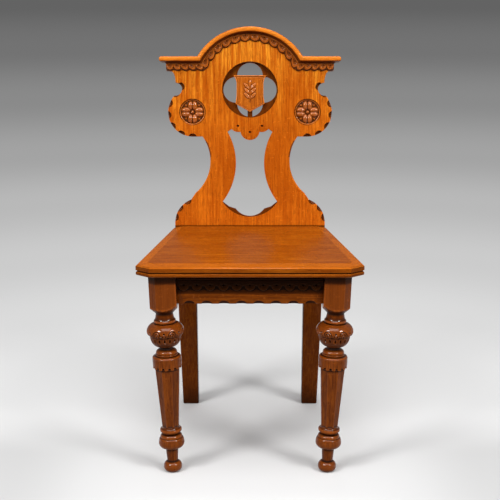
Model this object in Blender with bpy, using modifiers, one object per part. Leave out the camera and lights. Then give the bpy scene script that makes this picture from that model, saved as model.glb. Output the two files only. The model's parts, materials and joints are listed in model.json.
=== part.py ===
"""Carved oak hall chair.

Units are metres, +Z is up, the sitter faces -Y and the floor is Z = 0.
The chair is symmetrical about X = 0. A raked plank back stands behind a solid seat,
which rests on rails tenoned into two turned front legs and two raked rear legs.
Heights up the back are measured along its raked face from the level of the seat top.
"""
from math import acos, asin, atan2, cos, degrees, hypot, pi, radians, sin, sqrt, tan

import bmesh
import bpy
from mathutils import Matrix, Vector

# Clearances
GAP = 0.0003                # between pieces that touch
MITRE_GAP = 0.0004          # across the mitres of the mouldings
OVERRUN = 0.006             # how far a cutter runs past what it cuts
JOIN = 0.004                # how far a tenon's root runs into its own piece
WELD = 0.00001              # points closer than this are one point

# Seat board, a plank with clipped front corners
SEAT_TOP = 0.445
SEAT_THICKNESS = 0.024
SEAT_DEPTH = 0.385          # front edge to the face of the back, at the seat top
SEAT_SIDE_HALF = 0.226
SEAT_TAPER = 0.052          # how much narrower each half is at the rear
SEAT_CLIP_WIDTH = 0.028     # the clipped corners, across and back
SEAT_CLIP_DEPTH = 0.024
SEAT_THUMB_RUN = 0.0215     # sloping thumb moulding round the top
SEAT_THUMB_DROP = 0.005
SEAT_FILLET = 0.009         # upright face under the thumb
SEAT_GROOVE = 0.0022        # quirk between the face and the bead below
SEAT_GROOVE_DEPTH = 0.0028
SEAT_BEAD_INSET = 0.002
BEAD_SHARES = (0.3, 0.75)   # where the bead is widest, of its height
GROOVE_SHARE = 0.6          # upright part of the groove
THUMB_SHARES = (0.35, 0.55)  # the thumb's shoulder, of its run and of its rise

# Back plank
RAKE = radians(8)
BACK_THICKNESS = 0.025
BACK_FOOT_INSET = 0.0035    # inside the seat's rear corners
SHOULDER_RADIUS = 0.055
SHOULDER_HEIGHT = 0.008
SHOULDER_TURN = radians(70)
WAIST_RADIUS = 0.095
WAIST_CENTRE_X = 0.185
WAIST_CENTRE_DROP = 0.110   # below the lobes' centres
WAIST_LOW_DROP = 0.0725     # from the waist's centre to where it springs from the shoulder
LOBE_X = 0.130              # rosette lobes beside the round opening
LOBE_HEIGHT = 0.258         # carries every height of the back above the shoulders
LOBE_RADIUS = 0.055
NOTCH_RADIUS = 0.0145       # quirk between a lobe and the board's upper end
NOTCH_BITE_X = 0.017        # from the lobe's outermost point in to the notch's centre
NOTCH_BITE_HEIGHT = 0.0035
END_COVE_X = 0.0105
END_STEP_X = 0.005
END_HEIGHT = 0.0575         # from the notch up to the board's top
ARCH_CENTRE_DROP = 0.073    # below the board's top
ARCH_WIDTH = 0.077          # of wood round the opening
FOOT_TENON_END = 0.0435     # from the rear leg to the middle of a tenon in the rear rail
FOOT_TENON_WIDTH = 0.040
FOOT_TENON_THICKNESS = 0.009
FOOT_TENON_LENGTH = 0.028

# Round opening with its sunk quatrefoil web
RECESS_DEPTH = 0.011
ROUND_RADIUS = 0.062
FOIL_SHARE = 0.4677         # foil's radius, of the round's
FOIL_RIM = 0.0015           # wood left between a foil and the round
LINK_HALF = 0.0055          # small block that carries the shield's point
LINK_LAP = 0.0041

# Lower opening
SIDE_ARC_RADIUS = 0.143
SIDE_ARC_X = 0.175
SIDE_ARC_DROP = 0.005       # below the waist's centre
SIDE_ARC_TOP_DROP = 0.0032  # below the pendant's centre
BASIN_RADIUS = 0.074
BASIN_HEIGHT = 0.095
PENDANT_RADIUS = 0.022
PENDANT_DROP = 0.0295       # from the round down to the pendant's centre
EAR_LOBE_RADIUS = 0.0205
EAR_LOBE_X = 0.0265
EAR_LOBE_RISE = 0.0165      # above the pendant's centre
EAR_LOBE_END = radians(-42)
CUSP_X = 0.0326             # pointed cusps of the web sunk behind the basin
CUSP_FOIL_RADIUS = 0.040
CUSP_FOIL_HEIGHT = 0.0620
CUSP_HOLLOW_X = 0.048
CUSP_HOLLOW_HEIGHT = 0.0438

# Shield on the web, with a carved sprig. Shares are of the round opening's radius,
# and places are from its centre.
SHIELD_HALF_SHARE = 0.513
SHIELD_EAR_HALF_SHARE = 0.605
SHIELD_HIP_HALF_SHARE = 0.529
SHIELD_TOP_SHARE = 0.513
SHIELD_EAR_LOW_SHARE = 0.344
SHIELD_HIP_SHARE = -0.516
SHIELD_POINT_SHARE = -0.808
SHIELD_THICKNESS = 0.008
LEAF_LENGTH = 0.017
LEAF_WIDTH = 0.0065
LEAF_RELIEF = 0.0022
SPRIG_SPAN = 0.040          # from the lowest pair of leaves to the top leaf
SPRIG_DROP = 0.0275         # from the round's centre to the sprig's foot
STEM_WIDTH_SHARE = 0.33     # of a leaf's width
LEAF_OUT_SHARE = 0.42       # of its length, from the stem to a side leaf's middle
LEAF_SPREAD = radians(38)
LEAF_PAIRS = 2

# Rosettes let into the lobes
ROSETTE_RADIUS = 0.028
ROSETTE_DEPTH = 0.006
ROSETTE_BASE = 0.003
PETAL_OFFSET = 0.012
PETAL_LENGTH = 0.018
PETAL_WIDTH = 0.014
PETAL_RELIEF = 0.0048
BOSS_RADIUS = 0.0042
BOSS_RELIEF = 0.0067
PETALS = 4

# Cornice and the lunette band below it
CORNICE_PROJECTION = 0.020
CORNICE_FILLET = 0.012
CORNICE_ROUND = 0.003
CORNICE_COVE = 0.005
CORNICE_SOFFIT = 0.003
CORNICE_BED = 0.006
BAND_HEIGHT = 0.0145
BAND_THICKNESS = 0.005
SCALLOP_DEPTH = 0.0035
LUNETTES_STRAIGHT = 5
LUNETTES_ARCH = 12

# Front legs, turned below a square block. Drops are below the seat's underside, and
# levels are above the floor.
BLOCK_SETBACK_X = 0.0237    # from the seat's side edge and front edge in to the block
BLOCK_SETBACK_Y = 0.014
LEG_TOE_IN = 0.0160         # how far the foot stands inside the block
BLOCK_WIDTH = 0.0546
BLOCK_HEIGHT = 0.0723
BLOCK_CHAMFER = 0.014
BLOCK_SHOULDER = 0.0092
NECK_WIDTH = 0.0347
NECK_DROP = 0.0835
RING_WIDTH = 0.0446
RING_DROP = 0.0985
RING_HEIGHT = 0.0045
BULB_TOP_DROP = 0.1030
BULB_TOP_WIDTH = 0.0426
BULB_WIDTH = 0.0753
BULB_DROP = 0.1204
BULB_RIM_DROP = 0.1262
BULB_RIM_WIDTH = 0.0718
BOWL_WIDTH = 0.0644
BOWL_FOOT_WIDTH = 0.0340
BOWL_FOOT_DROP = 0.1538
WAIST_WIDTH = 0.0253
WAIST_DROP = 0.1566
CUSHION_WIDTH = 0.0470
CUSHION_DROP = 0.1672
COLLAR_TOP_DROP = 0.1706
COLLAR_WIDTH = 0.0590
COLLAR_FOOT_WIDTH = 0.0566
COLLAR_HEIGHT = 0.0258
SHAFT_TOP_WIDTH = 0.0479
SHAFT_FOOT_WIDTH = 0.0329
SHAFT_FOOT = 0.0985
ANKLE_WIDTH = 0.0442
ANKLE_LEVEL = 0.0900
ANKLE_HEIGHT = 0.0050
ANKLE_NECK_WIDTH = 0.0319
ANKLE_NECK = 0.0816
FOOT_BULB_WIDTH = 0.0528
FOOT_BULB_LEVEL = 0.0619
FOOT_NECK_WIDTH = 0.0252
FOOT_NECK = 0.0505
STEM_WIDTH = 0.0210
STEM_FOOT = 0.0208
BALL_WIDTH = 0.0376
BALL_LEVEL = 0.0105
SOLE_WIDTH = 0.0170

# Rear legs, raked and tapered
REAR_LEG_INSET = 0.0035     # inside the seat's rear corners
REAR_LEG_TOP_WIDTH = 0.047
REAR_LEG_WIDTH = 0.0365     # at the foot; the outer face takes the taper
REAR_LEG_DEPTH = 0.036
REAR_LEG_LAP = 0.0145       # how far the legs' tops reach under the seat
REAR_LEG_SPLAY = 0.0565     # how far the feet stand behind the tops
REAR_LEG_CHAMFER = 0.002

# Rails and their tenons
RAIL_HEIGHT = 0.0605
FRONT_RAIL_Y = 0.030
FRONT_RAIL_THICKNESS = 0.022
RAIL_WAVES = 8
RAIL_WAVE_DEPTH = 0.002
FRIEZE_DROP = 0.008
FRIEZE_HEIGHT = 0.0255
FRIEZE_THICKNESS = 0.004
FRIEZE_END_GAP = 0.0015
FRIEZE_LUNETTES = 11
FRIEZE_DOT_RADIUS = 0.0021
FRIEZE_DOT_DEPTH = 0.0025
FRIEZE_DOT_DROP = 0.0135
SIDE_RAIL_THICKNESS = 0.020
SIDE_RAIL_FRONT_SETBACK = 0.0113
SIDE_RAIL_REAR_SETBACK = 0.0135
REAR_RAIL_LAP = 0.006       # how far the rail reaches under the seat
REAR_RAIL_THICKNESS = 0.024
TENON_THICKNESS = 0.009
TENON_LENGTH = 0.022
REAR_TENON_LENGTH = 0.014   # short, to clear the side rail's tenon in the same leg
TENON_SHOULDER = 0.009

# Corner blocks and screws
CORNER_HEIGHT = 0.030
CORNER_ALONG_RAIL = 0.045
CORNER_ALONG_SIDE = 0.048
SCREW_RADIUS = 0.0022
SCREW_HEAD_RADIUS = 0.0045
SCREW_HEAD_HEIGHT = 0.003
SCREW_HOLE_RADIUS = 0.0026
SCREW_BITE = 0.012          # how far a screw enters the second piece
BACK_SCREW_BITE = 0.028
BACK_SCREW_SPACING = 0.110
BACK_SCREWS = 3

# Facets of round work
TURNED_STEPS = 24
ROUND_STEPS = 52
ROSETTE_STEPS = 36
ARCH_STEPS = 24
LONG_ARC_STEPS = 14
ARC_STEPS = 6
SHORT_ARC_STEPS = 4
SCREW_STEPS = 10
DOT_STEPS = 8
SHAFT_SIDES = 8
SCALLOP_SHARES = (0.0, 0.25, 0.5, 0.75)

# Places that follow from the sizes above
SEAT_UNDER = SEAT_TOP - SEAT_THICKNESS
SEAT_FRONT_HALF = SEAT_SIDE_HALF - SEAT_CLIP_WIDTH
SEAT_REAR_HALF = SEAT_SIDE_HALF - SEAT_TAPER
LEG_X = SEAT_SIDE_HALF - BLOCK_SETBACK_X - BLOCK_WIDTH / 2
LEG_Y = BLOCK_SETBACK_Y + BLOCK_WIDTH / 2
COLLAR_FOOT = SEAT_UNDER - COLLAR_TOP_DROP - COLLAR_HEIGHT
REAR_LEG_INNER = SEAT_REAR_HALF - REAR_LEG_INSET - REAR_LEG_TOP_WIDTH
REAR_LEG_TOP_Y = SEAT_DEPTH - REAR_LEG_LAP
REAR_LEG_FOOT_Y = REAR_LEG_TOP_Y + REAR_LEG_SPLAY
REAR_RAIL_Y = SEAT_DEPTH - REAR_RAIL_LAP
RAIL_FOOT = SEAT_UNDER - RAIL_HEIGHT
FOOT_TENON_X = REAR_LEG_INNER - FOOT_TENON_END
BACK_FOOT_HALF = SEAT_REAR_HALF - BACK_FOOT_INSET
WAIST_CENTRE_HEIGHT = LOBE_HEIGHT - WAIST_CENTRE_DROP
WAIST_LOW_HEIGHT = WAIST_CENTRE_HEIGHT - WAIST_LOW_DROP
NOTCH_X = LOBE_X + LOBE_RADIUS - NOTCH_BITE_X
NOTCH_HEIGHT = LOBE_HEIGHT + LOBE_RADIUS - NOTCH_BITE_HEIGHT
BOARD_HALF = NOTCH_X + END_COVE_X + END_STEP_X
BOARD_TOP = NOTCH_HEIGHT + NOTCH_RADIUS + END_HEIGHT
ARCH_CENTRE_HEIGHT = BOARD_TOP - ARCH_CENTRE_DROP
ARCH_RADIUS = ROUND_RADIUS + ARCH_WIDTH
FOIL_RADIUS = ROUND_RADIUS * FOIL_SHARE
FOIL_OFFSET = ROUND_RADIUS - FOIL_RIM - FOIL_RADIUS
PENDANT_HEIGHT = ARCH_CENTRE_HEIGHT - ROUND_RADIUS - PENDANT_DROP
SIDE_ARC_HEIGHT = WAIST_CENTRE_HEIGHT - SIDE_ARC_DROP
SIDE_ARC_TOP = PENDANT_HEIGHT - SIDE_ARC_TOP_DROP
APEX = ARCH_CENTRE_HEIGHT + ARCH_RADIUS
CHAIR_DEPTH = SEAT_DEPTH + APEX * sin(RAKE) + BACK_THICKNESS * cos(RAKE)
LEAN = asin(LEG_TOE_IN / SEAT_UNDER)
COVE_FOOT = CORNICE_FILLET + CORNICE_COVE
BAND_TOP = COVE_FOOT + GAP
BAND_FOOT = BAND_TOP + BAND_HEIGHT
REAR_RAKE_SHARE = (REAR_LEG_FOOT_Y - REAR_LEG_TOP_Y) / SEAT_UNDER

BACK_OAK = (0.52, 0.195, 0.035)
SEAT_OAK = (0.40, 0.135, 0.028)
MOULDING_OAK = (0.45, 0.150, 0.030)
CARVED_OAK = (0.36, 0.110, 0.026)
LEG_OAK = (0.25, 0.075, 0.020)
REAR_OAK = (0.14, 0.042, 0.012)
RAIL_OAK = (0.30, 0.095, 0.022)
BLOCK_OAK = (0.33, 0.160, 0.060)
STEEL = (0.45, 0.44, 0.42)


def clear_scene():
    """Remove every object, so that the chair stands alone."""
    for thing in list(bpy.data.objects):
        bpy.data.objects.remove(thing, do_unlink=True)


def new_collection(name):
    group = bpy.data.collections.new(name)
    bpy.context.scene.collection.children.link(group)
    return group


def new_frame(name, location, rotation, parent=None):
    """Return an empty that carries pieces."""
    frame = bpy.data.objects.new(name, None)
    frame.location = location
    frame.rotation_euler = rotation
    frame.parent = parent
    chair_parts.objects.link(frame)
    bpy.context.view_layer.update()
    return frame


def finish(name, colour, roughness=0.32, metallic=0.0):
    """Return the piece's own material."""
    material = bpy.data.materials.new(name)
    material.use_nodes = True
    shader = material.node_tree.nodes["Principled BSDF"]
    shader.inputs["Base Color"].default_value = (*colour, 1)
    shader.inputs["Roughness"].default_value = roughness
    shader.inputs["Metallic"].default_value = metallic
    return material


def place(name, mesh, frame, colour=None, **look):
    """Make an object of a mesh: a visible piece with a colour, or else a hidden cutter."""
    thing = bpy.data.objects.new(name, mesh)
    thing.parent = frame
    if colour is None:
        cutters.objects.link(thing)
        thing.hide_render = True
        thing.display_type = "WIRE"
        return thing
    chair_parts.objects.link(thing)
    mesh.materials.append(finish(name, colour, **look))
    return thing


def boolean(piece, other, operation):
    """Change a piece by another shape; steps of one kind in a row share one modifier."""
    last = piece.modifiers[-1] if piece.modifiers else None
    if last is None or last.type != "BOOLEAN" or last.operation != operation:
        last = piece.modifiers.new(operation.lower(), "BOOLEAN")
        last.operation = operation
        last.solver = "EXACT"
        last.operand_type = "COLLECTION"
        last.collection = bpy.data.collections.new(piece.name + "_" + operation.lower())
        cutters.children.link(last.collection)
    last.collection.objects.link(other)


def cut(piece, cutter):
    boolean(piece, cutter, "DIFFERENCE")


def join(piece, other):
    boolean(piece, other, "UNION")


def arc(centre, radius, start, end, steps=ARC_STEPS):
    """Return points on an arc, both ends included."""
    turns = [start + (end - start) * i / steps for i in range(steps + 1)]
    return [(centre[0] + radius * cos(a), centre[1] + radius * sin(a)) for a in turns]


def quarter(start, end, upright_first, steps=ARC_STEPS):
    """Return a quarter ellipse between two points, without its first point."""
    points = []
    for i in range(1, steps + 1):
        turn = pi / 2 * i / steps
        soon, late = sin(turn), 1 - cos(turn)
        across, along = (late, soon) if upright_first else (soon, late)
        points.append((start[0] + (end[0] - start[0]) * across,
                       start[1] + (end[1] - start[1]) * along))
    return points


def circles_meet(first, first_radius, second, second_radius, side):
    """Return the angles on two circles of the point where they meet, on one side."""
    apart = hypot(second[0] - first[0], second[1] - first[1])
    heading = atan2(second[1] - first[1], second[0] - first[0])
    near = (first_radius ** 2 + apart ** 2 - second_radius ** 2) / (2 * first_radius * apart)
    far = (second_radius ** 2 + apart ** 2 - first_radius ** 2) / (2 * second_radius * apart)
    return heading + side * acos(near), heading + pi - side * acos(far)


def both_sides(half):
    """Mirror an outline's right half and close it."""
    return half + [(-x, y) for x, y in reversed(half) if x]


def outline_solid(name, loops, low, high, frame, colour=None):
    """Extrude flat outlines, the first with the others as holes, along the frame's Z."""
    curve = bpy.data.curves.new(name, "CURVE")
    curve.dimensions = "2D"
    curve.fill_mode = "BOTH"
    curve.extrude = (high - low) / 2
    for loop in loops:
        spline = curve.splines.new("POLY")
        spline.points.add(len(loop) - 1)
        for point, (x, y) in zip(spline.points, loop):
            point.co = (x, y, 0, 1)
        spline.use_cyclic_u = True
    guide = bpy.data.objects.new(name + "_outline", curve)
    bpy.context.scene.collection.objects.link(guide)
    bpy.context.view_layer.update()
    evaluated = guide.evaluated_get(bpy.context.evaluated_depsgraph_get())
    mesh = bpy.data.meshes.new_from_object(evaluated)
    bpy.data.objects.remove(guide, do_unlink=True)
    shape = bmesh.new()
    shape.from_mesh(mesh)
    bmesh.ops.remove_doubles(shape, verts=shape.verts, dist=WELD)
    bmesh.ops.dissolve_limit(shape, angle_limit=radians(1), verts=shape.verts,
                             edges=shape.edges)
    bmesh.ops.translate(shape, verts=shape.verts, vec=(0, 0, (low + high) / 2))
    bmesh.ops.recalc_face_normals(shape, faces=shape.faces)
    shape.to_mesh(mesh)
    shape.free()
    mesh.name = name
    mesh.materials.clear()
    return place(name, mesh, frame, colour)


def box(name, low, high, frame, colour=None):
    """Make a block between two opposite corners."""
    shape = bmesh.new()
    size = [b - a for a, b in zip(low, high)]
    middle = [(a + b) / 2 for a, b in zip(low, high)]
    bmesh.ops.create_cube(shape, size=1, matrix=Matrix.Diagonal((*size, 1)))
    bmesh.ops.translate(shape, verts=shape.verts, vec=middle)
    mesh = bpy.data.meshes.new(name)
    shape.to_mesh(mesh)
    shape.free()
    return place(name, mesh, frame, colour)


def cylinder(name, radius, centre, low, high, frame, steps=TURNED_STEPS, top_radius=None):
    """Make an upright cylinder or cone in the frame."""
    shape = bmesh.new()
    bmesh.ops.create_cone(shape, cap_ends=True, segments=steps, radius1=radius,
                          radius2=radius if top_radius is None else top_radius, depth=high - low)
    bmesh.ops.translate(shape, verts=shape.verts, vec=(*centre, (low + high) / 2))
    mesh = bpy.data.meshes.new(name)
    shape.to_mesh(mesh)
    shape.free()
    return place(name, mesh, frame)


def ellipsoid(name, size, centre, turn, frame):
    """Make a flattened ball whose long side is turned in the frame's XY plane."""
    shape = bmesh.new()
    stretch = Matrix.Diagonal((*[side / 2 for side in size], 1))
    bmesh.ops.create_uvsphere(shape, u_segments=12, v_segments=7, radius=1, matrix=stretch)
    bmesh.ops.rotate(shape, verts=shape.verts, matrix=Matrix.Rotation(turn, 3, "Z"))
    bmesh.ops.translate(shape, verts=shape.verts, vec=centre)
    mesh = bpy.data.meshes.new(name)
    shape.to_mesh(mesh)
    shape.free()
    return place(name, mesh, frame)


def loft(name, rings, frame, colour=None):
    """Close a body through rings of as many points each, such as a mitred moulding."""
    shape = bmesh.new()
    loops = [[shape.verts.new(point) for point in ring] for ring in rings]
    for near, far in zip(loops, loops[1:]):
        for i in range(len(near)):
            shape.faces.new((near[i - 1], near[i], far[i], far[i - 1]))
    shape.faces.new(loops[0])
    shape.faces.new(loops[-1])
    bmesh.ops.recalc_face_normals(shape, faces=shape.faces)
    mesh = bpy.data.meshes.new(name)
    shape.to_mesh(mesh)
    shape.free()
    return place(name, mesh, frame, colour)


def turned(name, profile, frame, colour=None, steps=TURNED_STEPS, **look):
    """Spin a profile of (radius, height) points, given from the top down, about Z."""
    mesh = bpy.data.meshes.new(name)
    points = [(radius, 0, height) for radius, height in profile]
    mesh.from_pydata(points, [(i, i + 1) for i in range(len(points) - 1)], [])
    thing = place(name, mesh, frame, colour, **look)
    spin = thing.modifiers.new("spin", "SCREW")
    spin.axis = "Z"
    spin.steps = steps
    spin.render_steps = steps
    spin.use_merge_vertices = True
    spin.merge_threshold = WELD
    spin.use_smooth_shade = False
    return thing


def inset_outline(outline, insets):
    """Move each side of a closed outline inwards by its own distance."""
    count = len(outline)
    lines = []
    for i, inset in enumerate(insets):
        start, end = Vector(outline[i]), Vector(outline[(i + 1) % count])
        along = (end - start).normalized()
        inward = Vector((-along.y, along.x))
        lines.append((start + inward * inset, along))
    corners = []
    for i in range(count):
        (before, before_dir), (after, after_dir) = lines[i - 1], lines[i]
        reach = (after - before).cross(after_dir) / before_dir.cross(after_dir)
        corners.append(before + before_dir * reach)
    return corners


def make_seat():
    """The seat board, its moulded edge running round the front and both sides."""
    rear = SEAT_DEPTH + OVERRUN
    widening = (SEAT_SIDE_HALF - SEAT_REAR_HALF) / (SEAT_DEPTH - SEAT_CLIP_DEPTH)
    rear_half = SEAT_REAR_HALF - widening * OVERRUN
    outline = [(rear_half, rear), (-rear_half, rear), (-SEAT_SIDE_HALF, SEAT_CLIP_DEPTH),
               (-SEAT_FRONT_HALF, 0), (SEAT_FRONT_HALF, 0), (SEAT_SIDE_HALF, SEAT_CLIP_DEPTH)]
    face_top = SEAT_TOP - SEAT_THUMB_DROP
    face_foot = face_top - SEAT_FILLET
    groove_foot = face_foot - SEAT_GROOVE
    bead_height = groove_foot - SEAT_UNDER
    levels = [(SEAT_BEAD_INSET, SEAT_UNDER)]
    levels += [(0, SEAT_UNDER + bead_height * share) for share in BEAD_SHARES]
    levels += [(SEAT_GROOVE_DEPTH, groove_foot),
               (SEAT_GROOVE_DEPTH, groove_foot + SEAT_GROOVE * GROOVE_SHARE),
               (0, face_foot),
               (0, face_top),
               (SEAT_THUMB_RUN * THUMB_SHARES[0], face_top + SEAT_THUMB_DROP * THUMB_SHARES[1]),
               (SEAT_THUMB_RUN, SEAT_TOP)]
    rings = []
    for inset, level in levels:
        corners = inset_outline(outline, [0] + [inset] * (len(outline) - 1))
        rings.append([(corner.x, corner.y, level) for corner in corners])
    seat = loft("seat_board", rings, chair, SEAT_OAK)
    cut(seat, box("seat_rear_cut", (-SEAT_SIDE_HALF, -SEAT_DEPTH, -SEAT_DEPTH),
                  (SEAT_SIDE_HALF, SEAT_DEPTH, GAP), back))
    return seat


def back_outline():
    """The plank's edge: foot, shoulder, waist, rosette lobe, notch, end and arched top."""
    shoulder = (BACK_FOOT_HALF - SHOULDER_RADIUS, SHOULDER_HEIGHT)
    half = [(BACK_FOOT_HALF, -SEAT_THICKNESS - BACK_THICKNESS)]
    half += arc(shoulder, SHOULDER_RADIUS, 0, SHOULDER_TURN, LONG_ARC_STEPS)
    waist = (WAIST_CENTRE_X, WAIST_CENTRE_HEIGHT)
    low = pi + asin((WAIST_CENTRE_HEIGHT - WAIST_LOW_HEIGHT) / WAIST_RADIUS)
    ledge = LOBE_HEIGHT - LOBE_RADIUS
    high = pi - asin((ledge - WAIST_CENTRE_HEIGHT) / WAIST_RADIUS)
    half += arc(waist, WAIST_RADIUS, low, high, LONG_ARC_STEPS)
    lobe = (LOBE_X, LOBE_HEIGHT)
    notch = (NOTCH_X, NOTCH_HEIGHT)
    lobe_end, notch_start = circles_meet(lobe, LOBE_RADIUS, notch, NOTCH_RADIUS, -1)
    half += arc(lobe, LOBE_RADIUS, -pi / 2, lobe_end, LONG_ARC_STEPS)
    half += arc(notch, NOTCH_RADIUS, notch_start, pi / 2)[1:]
    end_foot = BOARD_TOP - BAND_FOOT
    half += quarter(half[-1], (NOTCH_X + END_COVE_X, end_foot), True, SHORT_ARC_STEPS)
    half += [(BOARD_HALF, end_foot), (BOARD_HALF, BOARD_TOP)]
    spring = asin((BOARD_TOP - ARCH_CENTRE_HEIGHT) / ARCH_RADIUS)
    half += arc((0, ARCH_CENTRE_HEIGHT), ARCH_RADIUS, spring, pi / 2, LONG_ARC_STEPS)[:-1]
    return both_sides(half + [(0, APEX)])


def quatrefoil():
    """Four foils round the centre, and the small link that rises into the lowest."""
    points = []
    centre = Vector((0, ARCH_CENTRE_HEIGHT))
    reach = FOIL_OFFSET / 2 + sqrt(FOIL_RADIUS ** 2 / 2 - FOIL_OFFSET ** 2 / 4)
    opening = pi / 2 + 2 * asin((reach - FOIL_OFFSET) / FOIL_RADIUS)
    for heading in (0, pi / 2, pi):
        foil = centre + FOIL_OFFSET * Vector((cos(heading), sin(heading)))
        points += arc(foil, FOIL_RADIUS, heading - pi + opening, heading + pi - opening, LONG_ARC_STEPS)[:-1]
    foil = centre - Vector((0, FOIL_OFFSET))
    beside_link = asin(LINK_HALF / FOIL_RADIUS)
    points += arc(foil, FOIL_RADIUS, pi / 2 + opening, 3 * pi / 2 - beside_link)
    top = ARCH_CENTRE_HEIGHT + SHIELD_POINT_SHARE * ROUND_RADIUS + LINK_LAP
    points += [(-LINK_HALF, top), (LINK_HALF, top)]
    points += arc(foil, FOIL_RADIUS, 3 * pi / 2 + beside_link, 5 * pi / 2 - opening)[:-1]
    return points


def lower_opening():
    """The tall opening: cusped web below, inward curving sides, lobed pendant above."""
    side = (SIDE_ARC_X, SIDE_ARC_HEIGHT)
    basin = (0, BASIN_HEIGHT)
    basin_end, side_start = circles_meet(basin, BASIN_RADIUS, side, SIDE_ARC_RADIUS, -1)
    side_end = pi - asin((SIDE_ARC_TOP - SIDE_ARC_HEIGHT) / SIDE_ARC_RADIUS)
    pendant = (0, PENDANT_HEIGHT)
    ear = (EAR_LOBE_X, PENDANT_HEIGHT + EAR_LOBE_RISE)
    pendant_end, ear_start = circles_meet(pendant, PENDANT_RADIUS, ear, EAR_LOBE_RADIUS, -1)
    foil_turn = asin(CUSP_X / CUSP_FOIL_RADIUS)
    half = arc((0, CUSP_FOIL_HEIGHT), CUSP_FOIL_RADIUS, -pi / 2, -pi / 2 + foil_turn)
    half += [(CUSP_HOLLOW_X, CUSP_HOLLOW_HEIGHT)]
    half += arc(side, SIDE_ARC_RADIUS, side_start, side_end, LONG_ARC_STEPS)
    half += arc(ear, EAR_LOBE_RADIUS, EAR_LOBE_END, ear_start - 2 * pi)[:-1]
    half += arc(pendant, PENDANT_RADIUS, pendant_end, -pi / 2)
    return both_sides([point if point[0] > GAP else (0, point[1]) for point in half])


def basin_sector():
    """The front of the lower opening's round foot, as far up as its corners."""
    basin = (0, BASIN_HEIGHT)
    side = (SIDE_ARC_X, SIDE_ARC_HEIGHT)
    corner, _ = circles_meet(basin, BASIN_RADIUS, side, SIDE_ARC_RADIUS, -1)
    end = corner - GAP / BASIN_RADIUS
    return arc(basin, BASIN_RADIUS, -pi - end, end, LONG_ARC_STEPS)


def foot_tenon(name, sign, slack, frame):
    """A tenon below the back's foot, or its mortise when slack is given."""
    half = FOOT_TENON_WIDTH / 2 + slack
    middle = REAR_RAIL_Y + REAR_RAIL_THICKNESS / 2
    thick = FOOT_TENON_THICKNESS / 2 + slack
    top = SEAT_UNDER + SEAT_THICKNESS / 2
    return box(name, (sign * FOOT_TENON_X - half, middle - thick,
                      SEAT_UNDER - FOOT_TENON_LENGTH - slack),
               (sign * FOOT_TENON_X + half, middle + thick, top), frame)


def make_back():
    """The pierced plank, level at its foot, with two tenons down into the rear rail."""
    plank = outline_solid("back_panel", [back_outline(), quatrefoil(), lower_opening()],
                          -BACK_THICKNESS, 0, back, BACK_OAK)
    cut(plank, outline_solid("basin_recess", [basin_sector()], -RECESS_DEPTH, OVERRUN, back))
    cut(plank, cylinder("round_recess", ROUND_RADIUS, (0, ARCH_CENTRE_HEIGHT),
                        -RECESS_DEPTH, OVERRUN, back, ROUND_STEPS))
    cut(plank, box("back_foot_cut", (-SEAT_SIDE_HALF, SEAT_DEPTH - SEAT_THICKNESS,
                                     SEAT_UNDER - SEAT_DEPTH),
                   (SEAT_SIDE_HALF, SEAT_DEPTH + REAR_LEG_DEPTH, SEAT_UNDER + GAP), chair))
    for sign, side in sides:
        cut(plank, cylinder("rosette_recess_" + side, ROSETTE_RADIUS + GAP,
                            (sign * LOBE_X, LOBE_HEIGHT), -ROSETTE_DEPTH, OVERRUN, back,
                            ROSETTE_STEPS))
    return plank


def join_foot_tenons(plank):
    """Two upright tenons below the foot of the back."""
    for sign, side in sides:
        join(plank, foot_tenon("back_tenon_" + side, sign, 0, chair))


def make_shield():
    """The shield, seated on the web's cusps and link, with a sprig in relief."""
    half = [(SHIELD_HIP_HALF_SHARE, SHIELD_HIP_SHARE),
            (SHIELD_HALF_SHARE, (SHIELD_HIP_SHARE + SHIELD_EAR_LOW_SHARE) / 2),
            (SHIELD_HALF_SHARE, SHIELD_EAR_LOW_SHARE), (SHIELD_EAR_HALF_SHARE, SHIELD_TOP_SHARE)]
    outline = [(0, SHIELD_POINT_SHARE)] + half + [(-x, y) for x, y in reversed(half)]
    outline = [(x * ROUND_RADIUS, ARCH_CENTRE_HEIGHT + y * ROUND_RADIUS) for x, y in outline]
    sprig_foot = ARCH_CENTRE_HEIGHT - SPRIG_DROP
    low = GAP - RECESS_DEPTH
    face = low + SHIELD_THICKNESS
    shield = outline_solid("shield", [outline], low, face, back, CARVED_OAK)
    step = SPRIG_SPAN / (LEAF_PAIRS + 1)
    leaves = [(0, sprig_foot + SPRIG_SPAN, 0)]
    for pair in range(LEAF_PAIRS):
        height = sprig_foot + step * (pair + 1)
        leaves += [(sign * LEAF_LENGTH * LEAF_OUT_SHARE, height, sign * LEAF_SPREAD)
                   for sign, _ in sides]
    stem_half = LEAF_WIDTH * STEM_WIDTH_SHARE / 2
    stem_low = (-stem_half, sprig_foot, face - JOIN)
    stem_high = (stem_half, sprig_foot + SPRIG_SPAN, face + LEAF_RELIEF / 2)
    join(shield, box("sprig_stem", stem_low, stem_high, back))
    for number, (x, height, turn) in enumerate(leaves):
        join(shield, ellipsoid("leaf_%d" % number, (LEAF_WIDTH, LEAF_LENGTH, 2 * LEAF_RELIEF),
                               (x, height, face), -turn, back))
    return shield


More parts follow.
